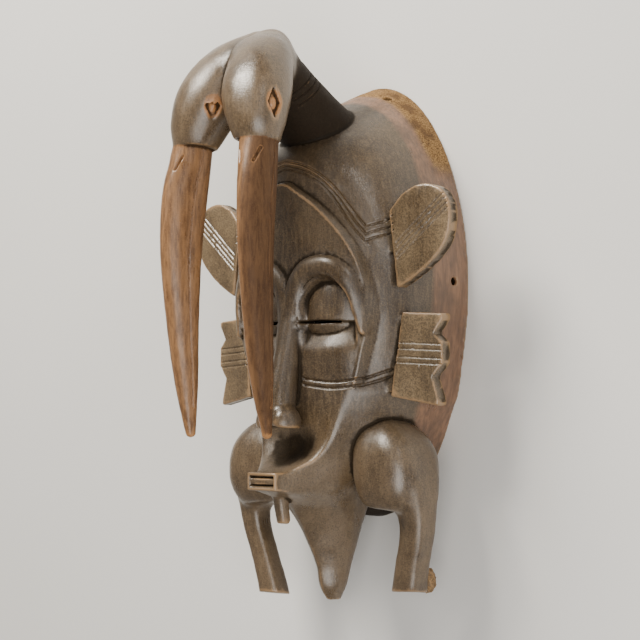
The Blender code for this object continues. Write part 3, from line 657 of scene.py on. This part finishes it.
def carve():
    low = (0, FOOT_HEIGHT - 0.006 - MARGIN, -MARGIN)
    high = (EAR_ROOT + EAR_REACH + MARGIN, BEAK_TOP + 0.085 + MARGIN, BEAK_FORWARD + 0.03 + MARGIN)
    block = half_block(low, high, CELL)
    block.add(shell, 0.001)
    block.add(nose, 0.003, high=(0.04, 0.05, 0.14))
    block.add(chin, 0.004, high=(0.08, -0.04, 0.15))
    block.add(muzzle, 0.012, high=(0.09, -0.03, 0.15))
    block.cut(under_nose, 0.006, high=(0.06, -0.06, 0.17))
    block.add(hip, 0.0015, low=(0.02, -0.16, 0), high=(0.11, -0.05, 0.1))
    block.add(leg, 0.007, low=(0.03, -0.21, 0), high=(0.11, -0.06, 0.09))
    block.add(mouth, 0.0025, low=(0, -0.14, 0.09), high=(0.03, -0.09, 0.14))
    block.cut(mouth_recess, 0.0006, low=(0, -0.14, 0.11), high=(0.03, -0.09, 0.14))
    block.cut(mouth_gap, 0.0006, low=(0, -0.14, 0.11), high=(0.03, -0.09, 0.14))
    block.add(peg, 0.002, low=(0, -0.16, 0.08), high=(0.03, -0.1, 0.13))
    block.add(neck, 0.0015, low=(0, 0.07, 0.01), high=(0.05, 0.21, 0.18))
    block.add(head, 0.008, low=(0, 0.07, 0.09), high=(0.08, 0.21, 0.2))
    block.add(beak, 0.0012, low=(0, -0.11, 0.11), high=(0.08, 0.13, 0.2))
    for place, way in bird_eyes():
        socket, pupil = bird_eye(place, way)
        low_eye, high_eye = place - 0.016, place + 0.016
        block.cut(socket, 0.0008, low=low_eye, high=high_eye)
        block.add(pupil, 0.0005, low=low_eye, high=high_eye)
    block.cut(hollow, 0.002)
    block.add(ear, 0.0012, low=(EAR_ROOT - 0.02, -0.01, 0.04), high=(0.13, 0.1, 0.09))
    block.add(flap, 0.0012, low=(FLAP_ROOT - 0.02, -0.08, 0.04), high=(0.13, 0.01, 0.09))
    block.cut(eye_slit, 0.0008, low=(0.002, -0.03, 0.05), high=(0.06, 0.01, 0.12))
    for place, way in rim_holes():
        block.cut(bore(place, way), 0.001)
    block = block.whole()
    block.add(thick_leg, 0.005, low=(0.03, -0.21, 0), high=(0.11, -0.1, 0.09))
    block.cut(worn_away, 0.001, low=(0.03, -0.21, 0), high=(0.11, -0.16, 0.09))
    block.add(splintered_stub, 0.0015, low=(0.055, -0.2, 0.015), high=(0.09, -0.165, 0.045))
    hand_cut(block)
    _, _, _, z = block.grid(*EVERYWHERE)
    block.field = np.maximum(block.field, -z).astype(np.float32)
    return block


# Mesh work

def rows_of(items, name, width=3, kind=np.float32):
    values = np.empty(width * len(items), kind)
    items.foreach_get(name, values)
    return values.reshape(-1, width)


def coordinates(mesh):
    return rows_of(mesh.vertices, "co")


def placed(name, data):
    """A new object in the scene."""
    holder = bpy.data.objects.new(name, data)
    bpy.context.scene.collection.objects.link(holder)
    return holder


def bulge(points, ways, ends, rounds):
    """How far each point stands out from its surroundings, positive on edges and negative in grooves."""
    count = len(points)
    weight = np.bincount(ends.ravel(), minlength=count)[:, None]
    soft = points.astype(float)
    for _ in range(rounds):
        near = np.stack([
            np.bincount(ends[:, 0], soft[ends[:, 1], i], count)
            + np.bincount(ends[:, 1], soft[ends[:, 0], i], count)
            for i in range(3)
        ], 1)
        soft = 0.4 * soft + 0.6 * near / np.maximum(weight, 1)
    return np.einsum("ij,ij->i", points - soft, ways)


def plain_mesh(obj):
    """The object's evaluated mesh, put in place of its mesh and modifiers."""
    made = bpy.data.meshes.new_from_object(obj.evaluated_get(bpy.context.evaluated_depsgraph_get()))
    obj.modifiers.clear()
    old = obj.data
    obj.data = made
    bpy.data.meshes.remove(old)
    return obj


def fewer_faces(obj, triangles):
    thin = obj.modifiers.new("fewer_faces", "DECIMATE")
    thin.ratio = min(1.0, triangles / (2 * len(obj.data.polygons)))
    return plain_mesh(obj)


def sampled(lines, step=0.0004):
    rows = []
    for line in lines:
        for a, b in zip(line, line[1:]):
            count = max(1, int(np.linalg.norm(b - a) / step))
            rows += [a + (b - a) * i / count for i in range(count)]
        rows.append(line[-1])
    return np.array(rows)


def finder(points):
    tree = kdtree.KDTree(len(points))
    for i, point in enumerate(points):
        tree.insert(point, i)
    tree.balance()
    return tree


def distances(tree, points):
    return np.array([tree.find(point)[2] for point in points])


def refine(obj, lines, reach=0.0016, longest=0.0008):
    """Shorter edges along the incised lines."""
    tree = finder(sampled(lines))
    body = bmesh.new()
    body.from_mesh(obj.data)
    bmesh.ops.triangulate(body, faces=body.faces)
    for _ in range(3):
        long = [
            edge for edge in body.edges
            if edge.calc_length() > longest
            and tree.find((edge.verts[0].co + edge.verts[1].co) / 2)[2] < reach + 0.3 * edge.calc_length()
        ]
        if not long:
            break
        bmesh.ops.subdivide_edges(body, edges=long, cuts=1)
        bmesh.ops.triangulate(body, faces=[face for face in body.faces if len(face.verts) > 3])
    body.to_mesh(obj.data)
    body.free()


# Incised lines, drawn flat and dropped onto the carving from these heights

FACE_DROP = 0.125
BOARD_DROP = 0.1


def mirrored(lines):
    return [line * [-1, 1, 1] for line in lines]


def cast(tree, starts, way, reach=1.0):
    """Where rays meet the surface within a reach, with a miss left out."""
    hits = [(Vector(start), tree.ray_cast(Vector(start), Vector(way))[0]) for start in starts]
    return [np.array(hit) for start, hit in hits if hit is not None and (hit - start).length < reach]


def dropped(tree, drawn, top):
    """The drawn x, y lines dropped onto the surface from a height."""
    lines = [cast(tree, [(x, y, top) for x, y in points], (0, 0, -1)) for points in drawn]
    return [np.array(line) for line in lines if len(line) > 1]


def hair_band():
    """Three grooves that arch over the forehead and turn up to the ear in a V."""
    high = [
        (0, 0.1027), (0.0075, 0.1014), (0.016, 0.0989), (0.026, 0.0934), (0.036, 0.0843),
        (0.045, 0.0711), (0.0549, 0.0571),
    ]
    low = [
        (0, 0.0969), (0.0076, 0.0956), (0.0159, 0.0929), (0.0264, 0.0863), (0.0355, 0.075),
        (0.0452, 0.0602), (0.0549, 0.0479),
    ]
    high_end, low_end = (0.0716, 0.0641), (0.0727, 0.0544)
    lines = []
    for share in (0.27, 0.78, 1.25):
        rows = zip([*high, high_end], [*low, low_end])
        *arch, tail = [tuple(np.multiply(a, 1 - share) + np.multiply(b, share)) for a, b in rows]
        curve = through([(-arch[1][0], arch[1][1]), *arch], 12)[12:]
        lines.append(np.vstack([curve, through([arch[-1], tail], 8)]))
    return lines


def cheek_lines():
    upper = [(0.0102, -0.0468), (0.03, -0.049), (0.0465, -0.0477), (0.0546, -0.0451), (0.064, -0.0405)]
    return [through(upper, 10), through([(x, y - 0.0042) for x, y in upper], 10)]


def ear_lines():
    ends = [((0.0755, 0.0435), (0.112, 0.0745)), ((0.0765, 0.0405), (0.1135, 0.0715)),
            ((0.076, 0.036), (0.1145, 0.068)), ((0.0765, 0.0325), (0.115, 0.0645))]
    return [through(pair, 24) for pair in ends]


def flap_lines():
    heights = [-0.0235, -0.0275, -0.033, -0.0368]
    return [through([(0.069, y + 0.001), (0.102, y - 0.0008)], 20) for y in heights]


def neck_rings(tree):
    """Three grooves that run most of the way around the neck."""
    line = neck_line()
    lines = []
    for height in (0.0975, 0.1015, 0.1055):
        at = int(np.argmin(np.abs(line[:, 2] - height)))
        span = line[at + 1] - line[at]
        place = line[at] + span * (height - line[at, 2]) / span[2]
        axis = np.array([0, 0.75, 0.66])
        side = np.array([1.0, 0, 0])
        other = np.cross(axis, side)
        ring = []
        for turn in np.linspace(-0.7 * math.pi, 0.7 * math.pi, 70):
            way = math.sin(turn) * side + math.cos(turn) * other * (1 if other[1] > 0 else -1)
            ring += cast(tree, [place], way, 0.03)
        lines.append(np.array(ring))
    return lines


def beak_seams(tree):
    """The line between the two halves of a beak, on both of its sides."""
    lines = []
    stations = beak_stations()
    for side in (1, -1):
        way = side * SIDEWAYS - 0.1 * FORWARD
        lines.append(through(cast(tree, stations[1:-2, :3], way, 0.02), 8))
    return lines


def nostrils(tree):
    """A short slanting slit near the top of each beak, on both of its sides."""
    lines = []
    for side in (1, -1):
        way = Vector(side * SIDEWAYS * 0.62 + FORWARD)
        slit = []
        for share in np.linspace(0, 1, 8):
            start = np.array([0.0325, 0.0915 + 0.0085 * share, 0.161])
            start += side * SIDEWAYS * 0.0055 * (share - 0.5)
            slit += cast(tree, [start], way)
        lines.append(np.array(slit))
    return lines


def incising_tree():
    """Presses the surface in along the nearest line of a second object, to a depth over a half width."""
    tree = bpy.data.node_groups.new("incised_line", "GeometryNodeTree")
    inputs = {
        "Carving": "Geometry", "Lines": "Object", "Half width": "Float", "Depth": "Float",
        "Finish": "Material",
    }
    for name, kind in inputs.items():
        tree.interface.new_socket(name, in_out="INPUT", socket_type="NodeSocket" + kind)
    tree.interface.new_socket("Carving", in_out="OUTPUT", socket_type="NodeSocketGeometry")
    nodes = tree.nodes
    given = nodes.new("NodeGroupInput")
    result = nodes.new("NodeGroupOutput")
    info = nodes.new("GeometryNodeObjectInfo")
    near = nodes.new("GeometryNodeProximity")
    near.target_element = "EDGES"
    profile = nodes.new("ShaderNodeMapRange")
    profile.interpolation_type = "SMOOTHSTEP"
    profile.inputs["From Min"].default_value = 0.0
    profile.inputs["To Max"].default_value = 0.0
    turned = nodes.new("ShaderNodeMath")
    turned.operation = "MULTIPLY"
    turned.inputs[1].default_value = -1.0
    normal = nodes.new("GeometryNodeInputNormal")
    offset = nodes.new("ShaderNodeVectorMath")
    offset.operation = "SCALE"
    press = nodes.new("GeometryNodeSetPosition")
    real = nodes.new("GeometryNodeRealizeInstances")
    finish = nodes.new("GeometryNodeSetMaterial")
    for start, end in (
        (given.outputs["Lines"], info.inputs["Object"]),
        (info.outputs["Geometry"], near.inputs[0]),
        (near.outputs["Distance"], profile.inputs["Value"]),
        (given.outputs["Half width"], profile.inputs["From Max"]),
        (given.outputs["Depth"], turned.inputs[0]),
        (turned.outputs[0], profile.inputs["To Min"]),
        (normal.outputs["Normal"], offset.inputs[0]),
        (profile.outputs["Result"], offset.inputs["Scale"]),
        (given.outputs["Carving"], press.inputs["Geometry"]),
        (offset.outputs[0], press.inputs["Offset"]),
        (press.outputs["Geometry"], real.inputs["Geometry"]),
        (real.outputs["Geometry"], finish.inputs["Geometry"]),
        (given.outputs["Finish"], finish.inputs["Material"]),
        (finish.outputs["Geometry"], result.inputs[0]),
    ):
        tree.links.new(start, end)
    return tree


def incise(obj, tree, lines, half_width, depth, finish):
    points, edges = [], []
    for line in lines:
        edges += [(len(points) + i, len(points) + i + 1) for i in range(len(line) - 1)]
        points += [tuple(point) for point in line]
    drawn = bpy.data.meshes.new("drawn_lines")
    drawn.from_pydata(points, edges, [])
    guide = placed("drawn_lines", drawn)
    cut = obj.modifiers.new("incised_line", "NODES")
    cut.node_group = tree
    values = {"Lines": guide, "Half width": half_width, "Depth": depth, "Finish": finish}
    for item in tree.interface.items_tree:
        if item.in_out == "INPUT" and item.name in values:
            cut[item.identifier] = values[item.name]
    plain_mesh(obj)
    bpy.data.objects.remove(guide)
    bpy.data.meshes.remove(drawn)


# Finishes

class Paint:
    """Short ways to write a material's nodes."""

    def __init__(self, name):
        self.material = bpy.data.materials.new(name)
        self.material.use_nodes = True
        self.nodes, self.links = self.material.node_tree.nodes, self.material.node_tree.links
        self.shader = self.nodes["Principled BSDF"]
        self.place = self.nodes.new("ShaderNodeTexCoord").outputs["Object"]

    def set(self, socket, value):
        if isinstance(value, bpy.types.NodeSocket):
            self.links.new(value, socket)
        else:
            socket.default_value = value

    def stretched(self, scale, turn=(0, 0, 0)):
        node = self.nodes.new("ShaderNodeMapping")
        node.inputs["Scale"].default_value = scale
        node.inputs["Rotation"].default_value = turn
        self.links.new(self.place, node.inputs["Vector"])
        return node.outputs[0]

    def noise(self, scale, detail=3.0, rough=0.5, vector=None, twist=0.0):
        node = self.nodes.new("ShaderNodeTexNoise")
        node.inputs["Scale"].default_value = scale
        node.inputs["Detail"].default_value = detail
        node.inputs["Roughness"].default_value = rough
        node.inputs["Distortion"].default_value = twist
        self.links.new(vector or self.place, node.inputs["Vector"])
        return node.outputs["Fac"]

    def ranged(self, value, low, high, to_low=0.0, to_high=1.0):
        node = self.nodes.new("ShaderNodeMapRange")
        node.interpolation_type = "SMOOTHSTEP"
        values = {"Value": value, "From Min": low, "From Max": high, "To Min": to_low, "To Max": to_high}
        for name, given in values.items():
            self.set(node.inputs[name], given)
        return node.outputs[0]

    def math(self, kind, a, b, clamp=False):
        node = self.nodes.new("ShaderNodeMath")
        node.operation = kind
        node.use_clamp = clamp
        self.set(node.inputs[0], a)
        self.set(node.inputs[1], b)
        return node.outputs[0]

    def add(self, a, b, clamp=False):
        return self.math("ADD", a, b, clamp)

    def times(self, a, b):
        return self.math("MULTIPLY", a, b)

    def most(self, a, b):
        return self.math("MAXIMUM", a, b)

    def mix(self, share, a, b):
        node = self.nodes.new("ShaderNodeMix")
        node.data_type = "RGBA"
        self.set(node.inputs[0], share)
        for socket, value in ((node.inputs[6], a), (node.inputs[7], b)):
            self.set(socket, value if isinstance(value, bpy.types.NodeSocket) else (*value, 1.0))
        return node.outputs[2]

    def attribute(self, name):
        node = self.nodes.new("ShaderNodeAttribute")
        node.attribute_name = name
        return node.outputs["Fac"]

    def bump(self, height, strength, distance, under=None):
        node = self.nodes.new("ShaderNodeBump")
        node.inputs["Strength"].default_value = strength
        node.inputs["Distance"].default_value = distance
        self.links.new(height, node.inputs["Height"])
        if under is not None:
            self.links.new(under, node.inputs["Normal"])
        return node.outputs[0]


def dark_wood():
    p = Paint("dark_wood")
    worn, soot_and_shadow, shade = (p.attribute(name) for name in ("worn", "soot_and_shadow", "shade"))
    beak_zone, rim_zone, raw_zone, back_zone, board_zone = (
        p.attribute(kind + "_wood") for kind in ("beak", "rim", "raw", "back", "board")
    )
    cloud = p.noise(45, 4, 0.55)
    patch = p.noise(16, 3, 0.5, twist=0.4)
    grain = p.noise(1.0, 5, 0.65, p.stretched((420, 60, 420)), 0.3)
    streak = p.noise(1.0, 3, 0.5, p.stretched((1300, 90, 1300)))
    scratch = p.noise(1.0, 2, 0.6, p.stretched((160, 1700, 700), (0.2, 0.3, 0.9)))
    mottle = p.noise(950, 4, 0.7)
    speck = p.noise(900, 3, 0.6)

    patina = p.mix(p.ranged(patch, 0.35, 0.68), (0.032, 0.02, 0.0105), (0.072, 0.047, 0.024))
    # Painted light: a lighter patina in patches on the lower half and on the heads, standing in for the
    # stronger light and sheen there.
    painted_light_share = p.times(p.attribute("painted_light"), p.ranged(cloud, 0.32, 0.62, 0.1, 0.5))
    patina = p.mix(painted_light_share, patina, (0.135, 0.088, 0.046))
    patina = p.mix(p.ranged(grain, 0.42, 0.75, 0, 0.45), patina, (0.165, 0.115, 0.064))
    patina = p.mix(p.ranged(mottle, 0.48, 0.7, 0, 0.5), patina, (0.17, 0.118, 0.066))
    dark_mottle = p.math("SUBTRACT", 1.0, mottle)
    patina = p.mix(p.ranged(dark_mottle, 0.5, 0.68, 0, 0.65), patina, (0.018, 0.012, 0.007))
    patina = p.mix(p.ranged(scratch, 0.66, 0.8, 0, 0.4), patina, (0.25, 0.18, 0.105))
    boards = p.mix(p.ranged(mottle, 0.38, 0.62), (0.085, 0.056, 0.028), (0.215, 0.15, 0.078))
    patina = p.mix(p.times(board_zone, p.ranged(cloud, 0.34, 0.62, 0.25, 0.75)), patina, boards)
    # Painted shade: near black where the shade share is set.
    patina = p.mix(shade, patina, (0.013, 0.009, 0.006))

    red = p.mix(p.ranged(grain, 0.32, 0.66), (0.105, 0.051, 0.022), (0.235, 0.122, 0.053))
    red = p.mix(p.ranged(mottle, 0.5, 0.72, 0, 0.6), red, (0.3, 0.155, 0.066))
    red = p.mix(p.ranged(patch, 0.5, 0.75, 0, 0.5), red, (0.055, 0.029, 0.016))
    # Painted shade on the beaks too.
    red = p.mix(shade, red, (0.03, 0.015, 0.009))

    rim = p.mix(p.ranged(grain, 0.3, 0.7), (0.095, 0.048, 0.025), (0.21, 0.108, 0.055))
    rim = p.mix(p.ranged(cloud, 0.48, 0.7, 0, 0.55), rim, (0.07, 0.042, 0.026))

    raw = p.mix(p.ranged(speck, 0.35, 0.62), (0.105, 0.056, 0.024), (0.3, 0.18, 0.074))
    raw = p.mix(p.ranged(cloud, 0.5, 0.64, 0, 0.8), raw, (0.085, 0.048, 0.025))

    back = p.mix(p.ranged(grain, 0.3, 0.7), (0.075, 0.046, 0.028), (0.17, 0.105, 0.062))
    back = p.mix(p.ranged(patch, 0.45, 0.7, 0, 0.6), back, (0.052, 0.033, 0.022))

    uneven = p.add(p.times(cloud, 0.7), p.times(speck, 0.5))
    in_beak = p.ranged(p.add(beak_zone, p.times(cloud, 0.3)), 0.45, 0.85)
    colour = p.mix(in_beak, patina, red)
    colour = p.mix(p.ranged(p.add(rim_zone, p.times(uneven, 0.4)), 0.55, 0.95), colour, rim)
    colour = p.mix(p.ranged(p.add(back_zone, p.times(cloud, 0.2)), 0.45, 0.75), colour, back)
    colour = p.mix(p.ranged(p.add(raw_zone, p.times(uneven, 0.7)), 0.9, 1.12), colour, raw)
    edge = p.ranged(p.add(worn, p.times(p.math("SUBTRACT", uneven, 0.6), 0.75)), 0.46, 1.0)
    bared = p.mix(in_beak, (0.27, 0.165, 0.08), (0.38, 0.185, 0.072))
    colour = p.mix(p.times(edge, 0.8), colour, bared)
    # Near black in grooves and hollows, and in the scoop under the nose, where it is its dark patina and
    # painted shadow of the nose.
    colour = p.mix(p.times(p.ranged(soot_and_shadow, 0.25, 0.85), 0.8), colour, (0.009, 0.0065, 0.004))
    p.links.new(colour, p.shader.inputs["Base Color"])

    # Dark patina and painted shade together, which also make the surface rougher and less glossy.
    soot_and_shade = p.most(soot_and_shadow, shade)
    dull = p.ranged(p.most(raw_zone, back_zone), 0.4, 0.9, 0, 0.38)
    rough = p.add(p.ranged(cloud, 0.3, 0.7, 0.26, 0.42), dull)
    rough = p.add(rough, p.times(p.ranged(soot_and_shade, 0.2, 0.8), 0.3))
    rough = p.add(rough, p.ranged(streak, 0.45, 0.75, 0, 0.1), clamp=True)
    p.links.new(rough, p.shader.inputs["Roughness"])
    matt = p.most(soot_and_shade, raw_zone)
    gloss = p.times(p.ranged(matt, 0.1, 0.9, 0.75, 0.08), p.ranged(in_beak, 0.0, 1.0, 1.0, 0.55))
    p.links.new(gloss, p.shader.inputs["Specular IOR Level"])

    under = p.bump(grain, 0.35, 0.00035)
    under = p.bump(scratch, 0.28, 0.00022, under)
    under = p.bump(p.times(p.add(raw_zone, 0.12), speck), 0.6, 0.0009, under)
    p.links.new(under, p.shader.inputs["Normal"])
    return p.material


def pale_floor():
    p = Paint("pale_floor")
    colour = p.mix(p.noise(3, 3), (0.6, 0.595, 0.58), (0.66, 0.655, 0.64))
    p.links.new(colour, p.shader.inputs["Base Color"])
    p.links.new(p.bump(p.noise(900, 2), 0.08, 0.0004), p.shader.inputs["Normal"])
    p.shader.inputs["Roughness"].default_value = 0.85
    return p.material


# Building

def within(form, x, y, z, reach, fade):
    """1 where a form is, fading to 0 at a reach from its surface."""
    return smooth_step((reach - form(x, y, z)) / fade)


def fixed_zones(x, y, z, right):
    """The share of each kind of wood surface at each point, and of the painted shade and the painted light,
    with x above 0 on both sides.
    """
    inside = smooth_step((0.0012 - np.abs(hollow(x, y, z))) / 0.0006) * (y < 0.135)
    collar = BEAK_TOP + 0.1 * (z - BEAK_FORWARD) - y
    beaks = within(beak, x, y, z, 0.001, 0.0008) * smooth_step((collar + 0.0005) / 0.0008)
    plain_shell = dome(x, y, z, 0, SHELL_HALF_WIDTH, SHELL_ABOVE, SHELL_BELOW, SHELL_DEPTH)
    on_shell = smooth_step((0.004 - np.abs(plain_shell)) / 0.003)
    side = on_shell * smooth_step((0.048 - z) / 0.022) * (1 - inside)
    bare = on_shell * smooth_step((y - 0.072) / 0.045) * smooth_step((0.034 - z) / 0.02) * (1 - inside)
    # Painted shade: the neck is made dark where it meets the heads, its darker patina and the shade beneath
    # the heads painted together, and the shell just below the heads is darkened as painted shadow of the
    # heads.
    near_neck = within(neck, x, y, z, 0.003, 0.003) * smooth_step((0.004 + head(x, y, z)) / 0.004)
    under_heads = smooth_step((y - 0.086) / 0.03) * smooth_step((0.045 - x) / 0.02)
    under_heads *= smooth_step((0.112 - z) / 0.01)
    # Painted shade: the outer side of the beak on the side of +X is made darker, as a side turned from the
    # light.
    outer_beak = 0.65 * beaks * right * smooth_step((x - 0.032) / 0.006)
    # Painted shade: the low end of the shell between the chin and the legs is made dark.
    low_end = 0.9 * (x < 0.04) * smooth_step((0.045 - z) / 0.01)
    low_end *= smooth_step((-0.105 - y) / 0.006) * (y > -0.145)
    shade = np.maximum(np.maximum(0.92 * near_neck, 0.4 * under_heads), np.maximum(outer_beak, low_end))
    heads = within(head, x, y, z, 0.002, 0.002) * (1 - beaks)
    # Painted light: the lower half and the heads are made lighter, except where shade is painted.
    painted_light = np.maximum(smooth_step((-0.075 - y) / 0.035), heads) * (1 - shade)
    for place, _ in bird_eyes():
        away = np.linalg.norm((np.stack([x, y, z], axis=1) - place) * [1, 0.75, 1], axis=1)
        beaks = np.maximum(beaks, smooth_step((0.0075 - away) / 0.0025))
    boards = smooth_step((0.001 - np.minimum(ear(x, y, z), flap(x, y, z))) / 0.001)
    # Painted shade: the boards' edges behind their front faces are made dark.
    ear_front, flap_front = EAR_FRONT - 0.1 * (x - EAR_ROOT), FLAP_FRONT - 0.2 * (x - FLAP_ROOT)
    for form, front in ((ear, ear_front), (flap, flap_front)):
        edge = within(form, x, y, z, 0.001, 0.001) * smooth_step((front - 0.0028 - z) / 0.0022)
        shade = np.maximum(shade, 0.75 * edge)
    return {
        "back_wood": inside, "beak_wood": beaks, "rim_wood": side * smooth_step((y + 0.105) / 0.02),
        "raw_wood": bare, "shade": shade, "board_wood": boards, "painted_light": painted_light,
    }


def zones(points):
    """The kinds of wood surface with the painted shade and light, then the scoop under the nose, dark with
    its patina and with painted shadow of the nose, and the lids, as a share at each point.
    """
    x, y, z = np.abs(points[:, 0]), points[:, 1], points[:, 2]
    values = fixed_zones(x, y, z, points[:, 0] > 0)
    stub = 0.62 * within(splintered_stub, points[:, 0], y, z, 0.003, 0.003)
    values["raw_wood"] = np.maximum(values["raw_wood"], stub)
    # Dark patina and painted shadow of the nose, in the scoop under it.
    dark = 0.55 * smooth_step((0.0035 - np.abs(under_nose(x, y, z))) / 0.003)
    dark *= smooth_step((0.02 - x) / 0.006)
    lid = smooth_step((0.0045 - np.abs(y - EYE_HEIGHT)) / 0.0015)
    lid *= smooth_step((0.024 - np.abs(x - EYE_OFFSET)) / 0.003)
    return values, dark, lid * smooth_step((z - 0.06) / 0.01)


def incised_lines(surface):
    """Rows of lines, half width and depth for each incised pattern."""
    scratch = [through([(0.0124, 0.0772), (0.0063, 0.0709), (0.0009, 0.0653)], 12)]
    mirrored_patterns = [
        (dropped(surface, hair_band(), FACE_DROP), 0.0012, 0.0012),
        (dropped(surface, cheek_lines(), FACE_DROP), 0.0014, 0.0013),
        (dropped(surface, ear_lines(), BOARD_DROP), 0.0009, 0.0008),
        (dropped(surface, flap_lines(), BOARD_DROP), 0.0009, 0.0008),
        (beak_seams(surface), 0.001, 0.001),
        (nostrils(surface), 0.0014, 0.0018),
    ]
    rows = [(lines + mirrored(lines), half_width, depth) for lines, half_width, depth in mirrored_patterns]
    rows.append((neck_rings(surface), 0.001, 0.0009))
    rows.append((dropped(surface, scratch, FACE_DROP), 0.0006, 0.0003))
    return rows


def wear(points, dense, sharp, broad):
    """How worn each point is and how dark it is made in grooves and hollows, from the edges and grooves of
    the dense carving.
    """
    near = finder(dense)
    worn, soot_and_shadow = np.empty(len(points)), np.empty(len(points))
    for i, point in enumerate(points):
        found = near.find_n(point, 3)
        index = [row[1] for row in found]
        weight = np.array([1 / (row[2] + 1e-5) for row in found])
        weight /= weight.sum()
        edge, wide = float(sharp[index] @ weight), float(broad[index] @ weight)
        worn[i] = 0.6 * max(edge, 0) + 0.16 * min(max(wide, 0), 1)
        soot_and_shadow[i] = 0.55 * max(-edge, 0) + 0.55 * max(-wide, 0)
    return worn, soot_and_shadow


def paint_zones(mesh, patterns, worn, soot_and_shadow):
    """Writes the share of each kind of surface, with the painted shade, the painted light and the painted
    shadow under the nose, to the mesh, for the material.
    """
    points = coordinates(mesh)
    for lines, half_width, depth in patterns:
        away = distances(finder(sampled(lines)), points)
        share = np.clip(depth / 0.0009, 0.4, 1.2)
        worn += share * 0.5 * bump(away - half_width * 1.08, half_width * 0.26)
        soot_and_shadow += share * 0.95 * smooth_step((half_width * 0.8 - away) / (half_width * 0.6))
    values, dark, lid = zones(points)
    soot_and_shadow += dark
    worn *= (1 - 0.7 * values["back_wood"]) * (1 - 0.85 * lid)
    # More dark patina and painted shadow of the nose, in a band across the scoop under it.
    scoop = smooth_step((0.0205 - np.abs(points[:, 0])) / 0.005) * bump(points[:, 1] + 0.0935, 0.012)
    soot_and_shadow += 0.9 * scoop * (points[:, 2] > 0.085)
    for place, _ in bird_eyes():
        for flip in (1, -1):
            offset = (points - place * [flip, 1, 1]) * [1, 0.7, 1]
            worn += 0.55 * bump(np.linalg.norm(offset, axis=1), 0.0085)
    values["worn"] = np.clip(worn, 0, 1.5)
    values["soot_and_shadow"] = np.clip(soot_and_shadow, 0, 1) * (1 - 0.6 * values["raw_wood"])
    for name, value in values.items():
        mesh.attributes.new(name, "FLOAT", "POINT").data.foreach_set("value", value.astype(np.float32))


def build_mask():
    """The carved piece, and how far it was moved along y to centre it as the CAD is."""
    mesh = carve().mesh("carving")
    dense = coordinates(mesh)
    ways, ends = rows_of(mesh.vertex_normals, "vector"), rows_of(mesh.edges, "vertices", 2, np.int32)
    sharp = bulge(dense, ways, ends, 6) / 0.00024
    broad = bulge(dense, ways, ends, 80) / 0.0016
    mask = placed("carved_mask", mesh)
    finish = dark_wood()
    mask.data.materials.append(finish)
    fewer_faces(mask, BODY_TRIANGLES)
    points = [tuple(point) for point in coordinates(mask.data)]
    faces = [tuple(face.vertices) for face in mask.data.polygons]
    patterns = incised_lines(BVHTree.FromPolygons(points, faces))
    refine(mask, [line for lines, _, _ in patterns for line in lines])
    tree = incising_tree()
    for lines, half_width, depth in patterns:
        incise(mask, tree, lines, half_width, depth, finish)
    mesh = mask.data
    paint_zones(mesh, patterns, *wear(coordinates(mesh), dense, sharp, broad))
    height = coordinates(mesh)[:, 1]
    rise = -(float(height.min()) + float(height.max())) / 2
    mesh.transform(Matrix.Translation((0, rise, 0)))
    mesh.shade_smooth()
    mesh.set_sharp_from_angle(angle=math.radians(50))
    return mask, rise


def build_floor():
    mesh = bpy.data.meshes.new("floor")
    body = bmesh.new()
    bmesh.ops.create_grid(body, x_segments=8, y_segments=8, size=6)
    body.to_mesh(mesh)
    body.free()
    floor = placed("floor", mesh)
    mesh.materials.append(pale_floor())


def soft_light(name, place, aim, size, power, colour):
    light = bpy.data.lights.new(name, "AREA")
    light.shape = "RECTANGLE"
    light.size, light.size_y = size
    light.energy = power
    light.color = colour
    holder = placed(name, light)
    holder.location = place
    holder.rotation_euler = (Vector(aim) - Vector(place)).to_track_quat("-Z", "Y").to_euler()


def build_lights():
    middle = (0, 0, 0.08)
    soft_light("window", (-0.42, 1.2, 0.98), middle, (0.75, 0.6), 56, (1.0, 0.94, 0.84))
    soft_light("lamp", (1.15, 0.95, 0.75), middle, (0.3, 0.3), 3, (1.0, 0.97, 0.93))
    soft_light("fill", (1.1, -0.45, 1.15), middle, (1.3, 1.3), 28, (1.0, 0.955, 0.9))
    world = bpy.data.worlds.new("studio")
    bpy.context.scene.world = world
    world.use_nodes = True
    world.node_tree.nodes["Background"].inputs[0].default_value = (1.0, 0.98, 0.95, 1.0)
    world.node_tree.nodes["Background"].inputs[1].default_value = 0.3


def build_camera(rise):
    """The photo's view: from the right of the mask and a little below it, with the mask off the middle."""
    turn, tip = math.radians(42), math.radians(-2.5)
    distance, aside, down = 1.296, 0.0432, 0.0036
    back = Vector((math.sin(turn) * math.cos(tip), math.sin(tip), math.cos(turn) * math.cos(tip)))
    right = Vector((math.cos(turn), 0, -math.sin(turn)))
    up = back.cross(right)
    lens = bpy.data.cameras.new("camera")
    lens.lens = 101.25
    lens.sensor_width = 36
    holder = placed("camera", lens)
    pose = Matrix((right, up, back)).transposed().to_4x4()
    pose.translation = back * distance - right * aside - up * down + Vector((0, rise, 0))
    holder.matrix_world = pose
    bpy.context.scene.camera = holder


mask, rise = build_mask()
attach(mask, "root")
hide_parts("hornbill_mask")
build_floor()
build_lights()
build_camera(rise)
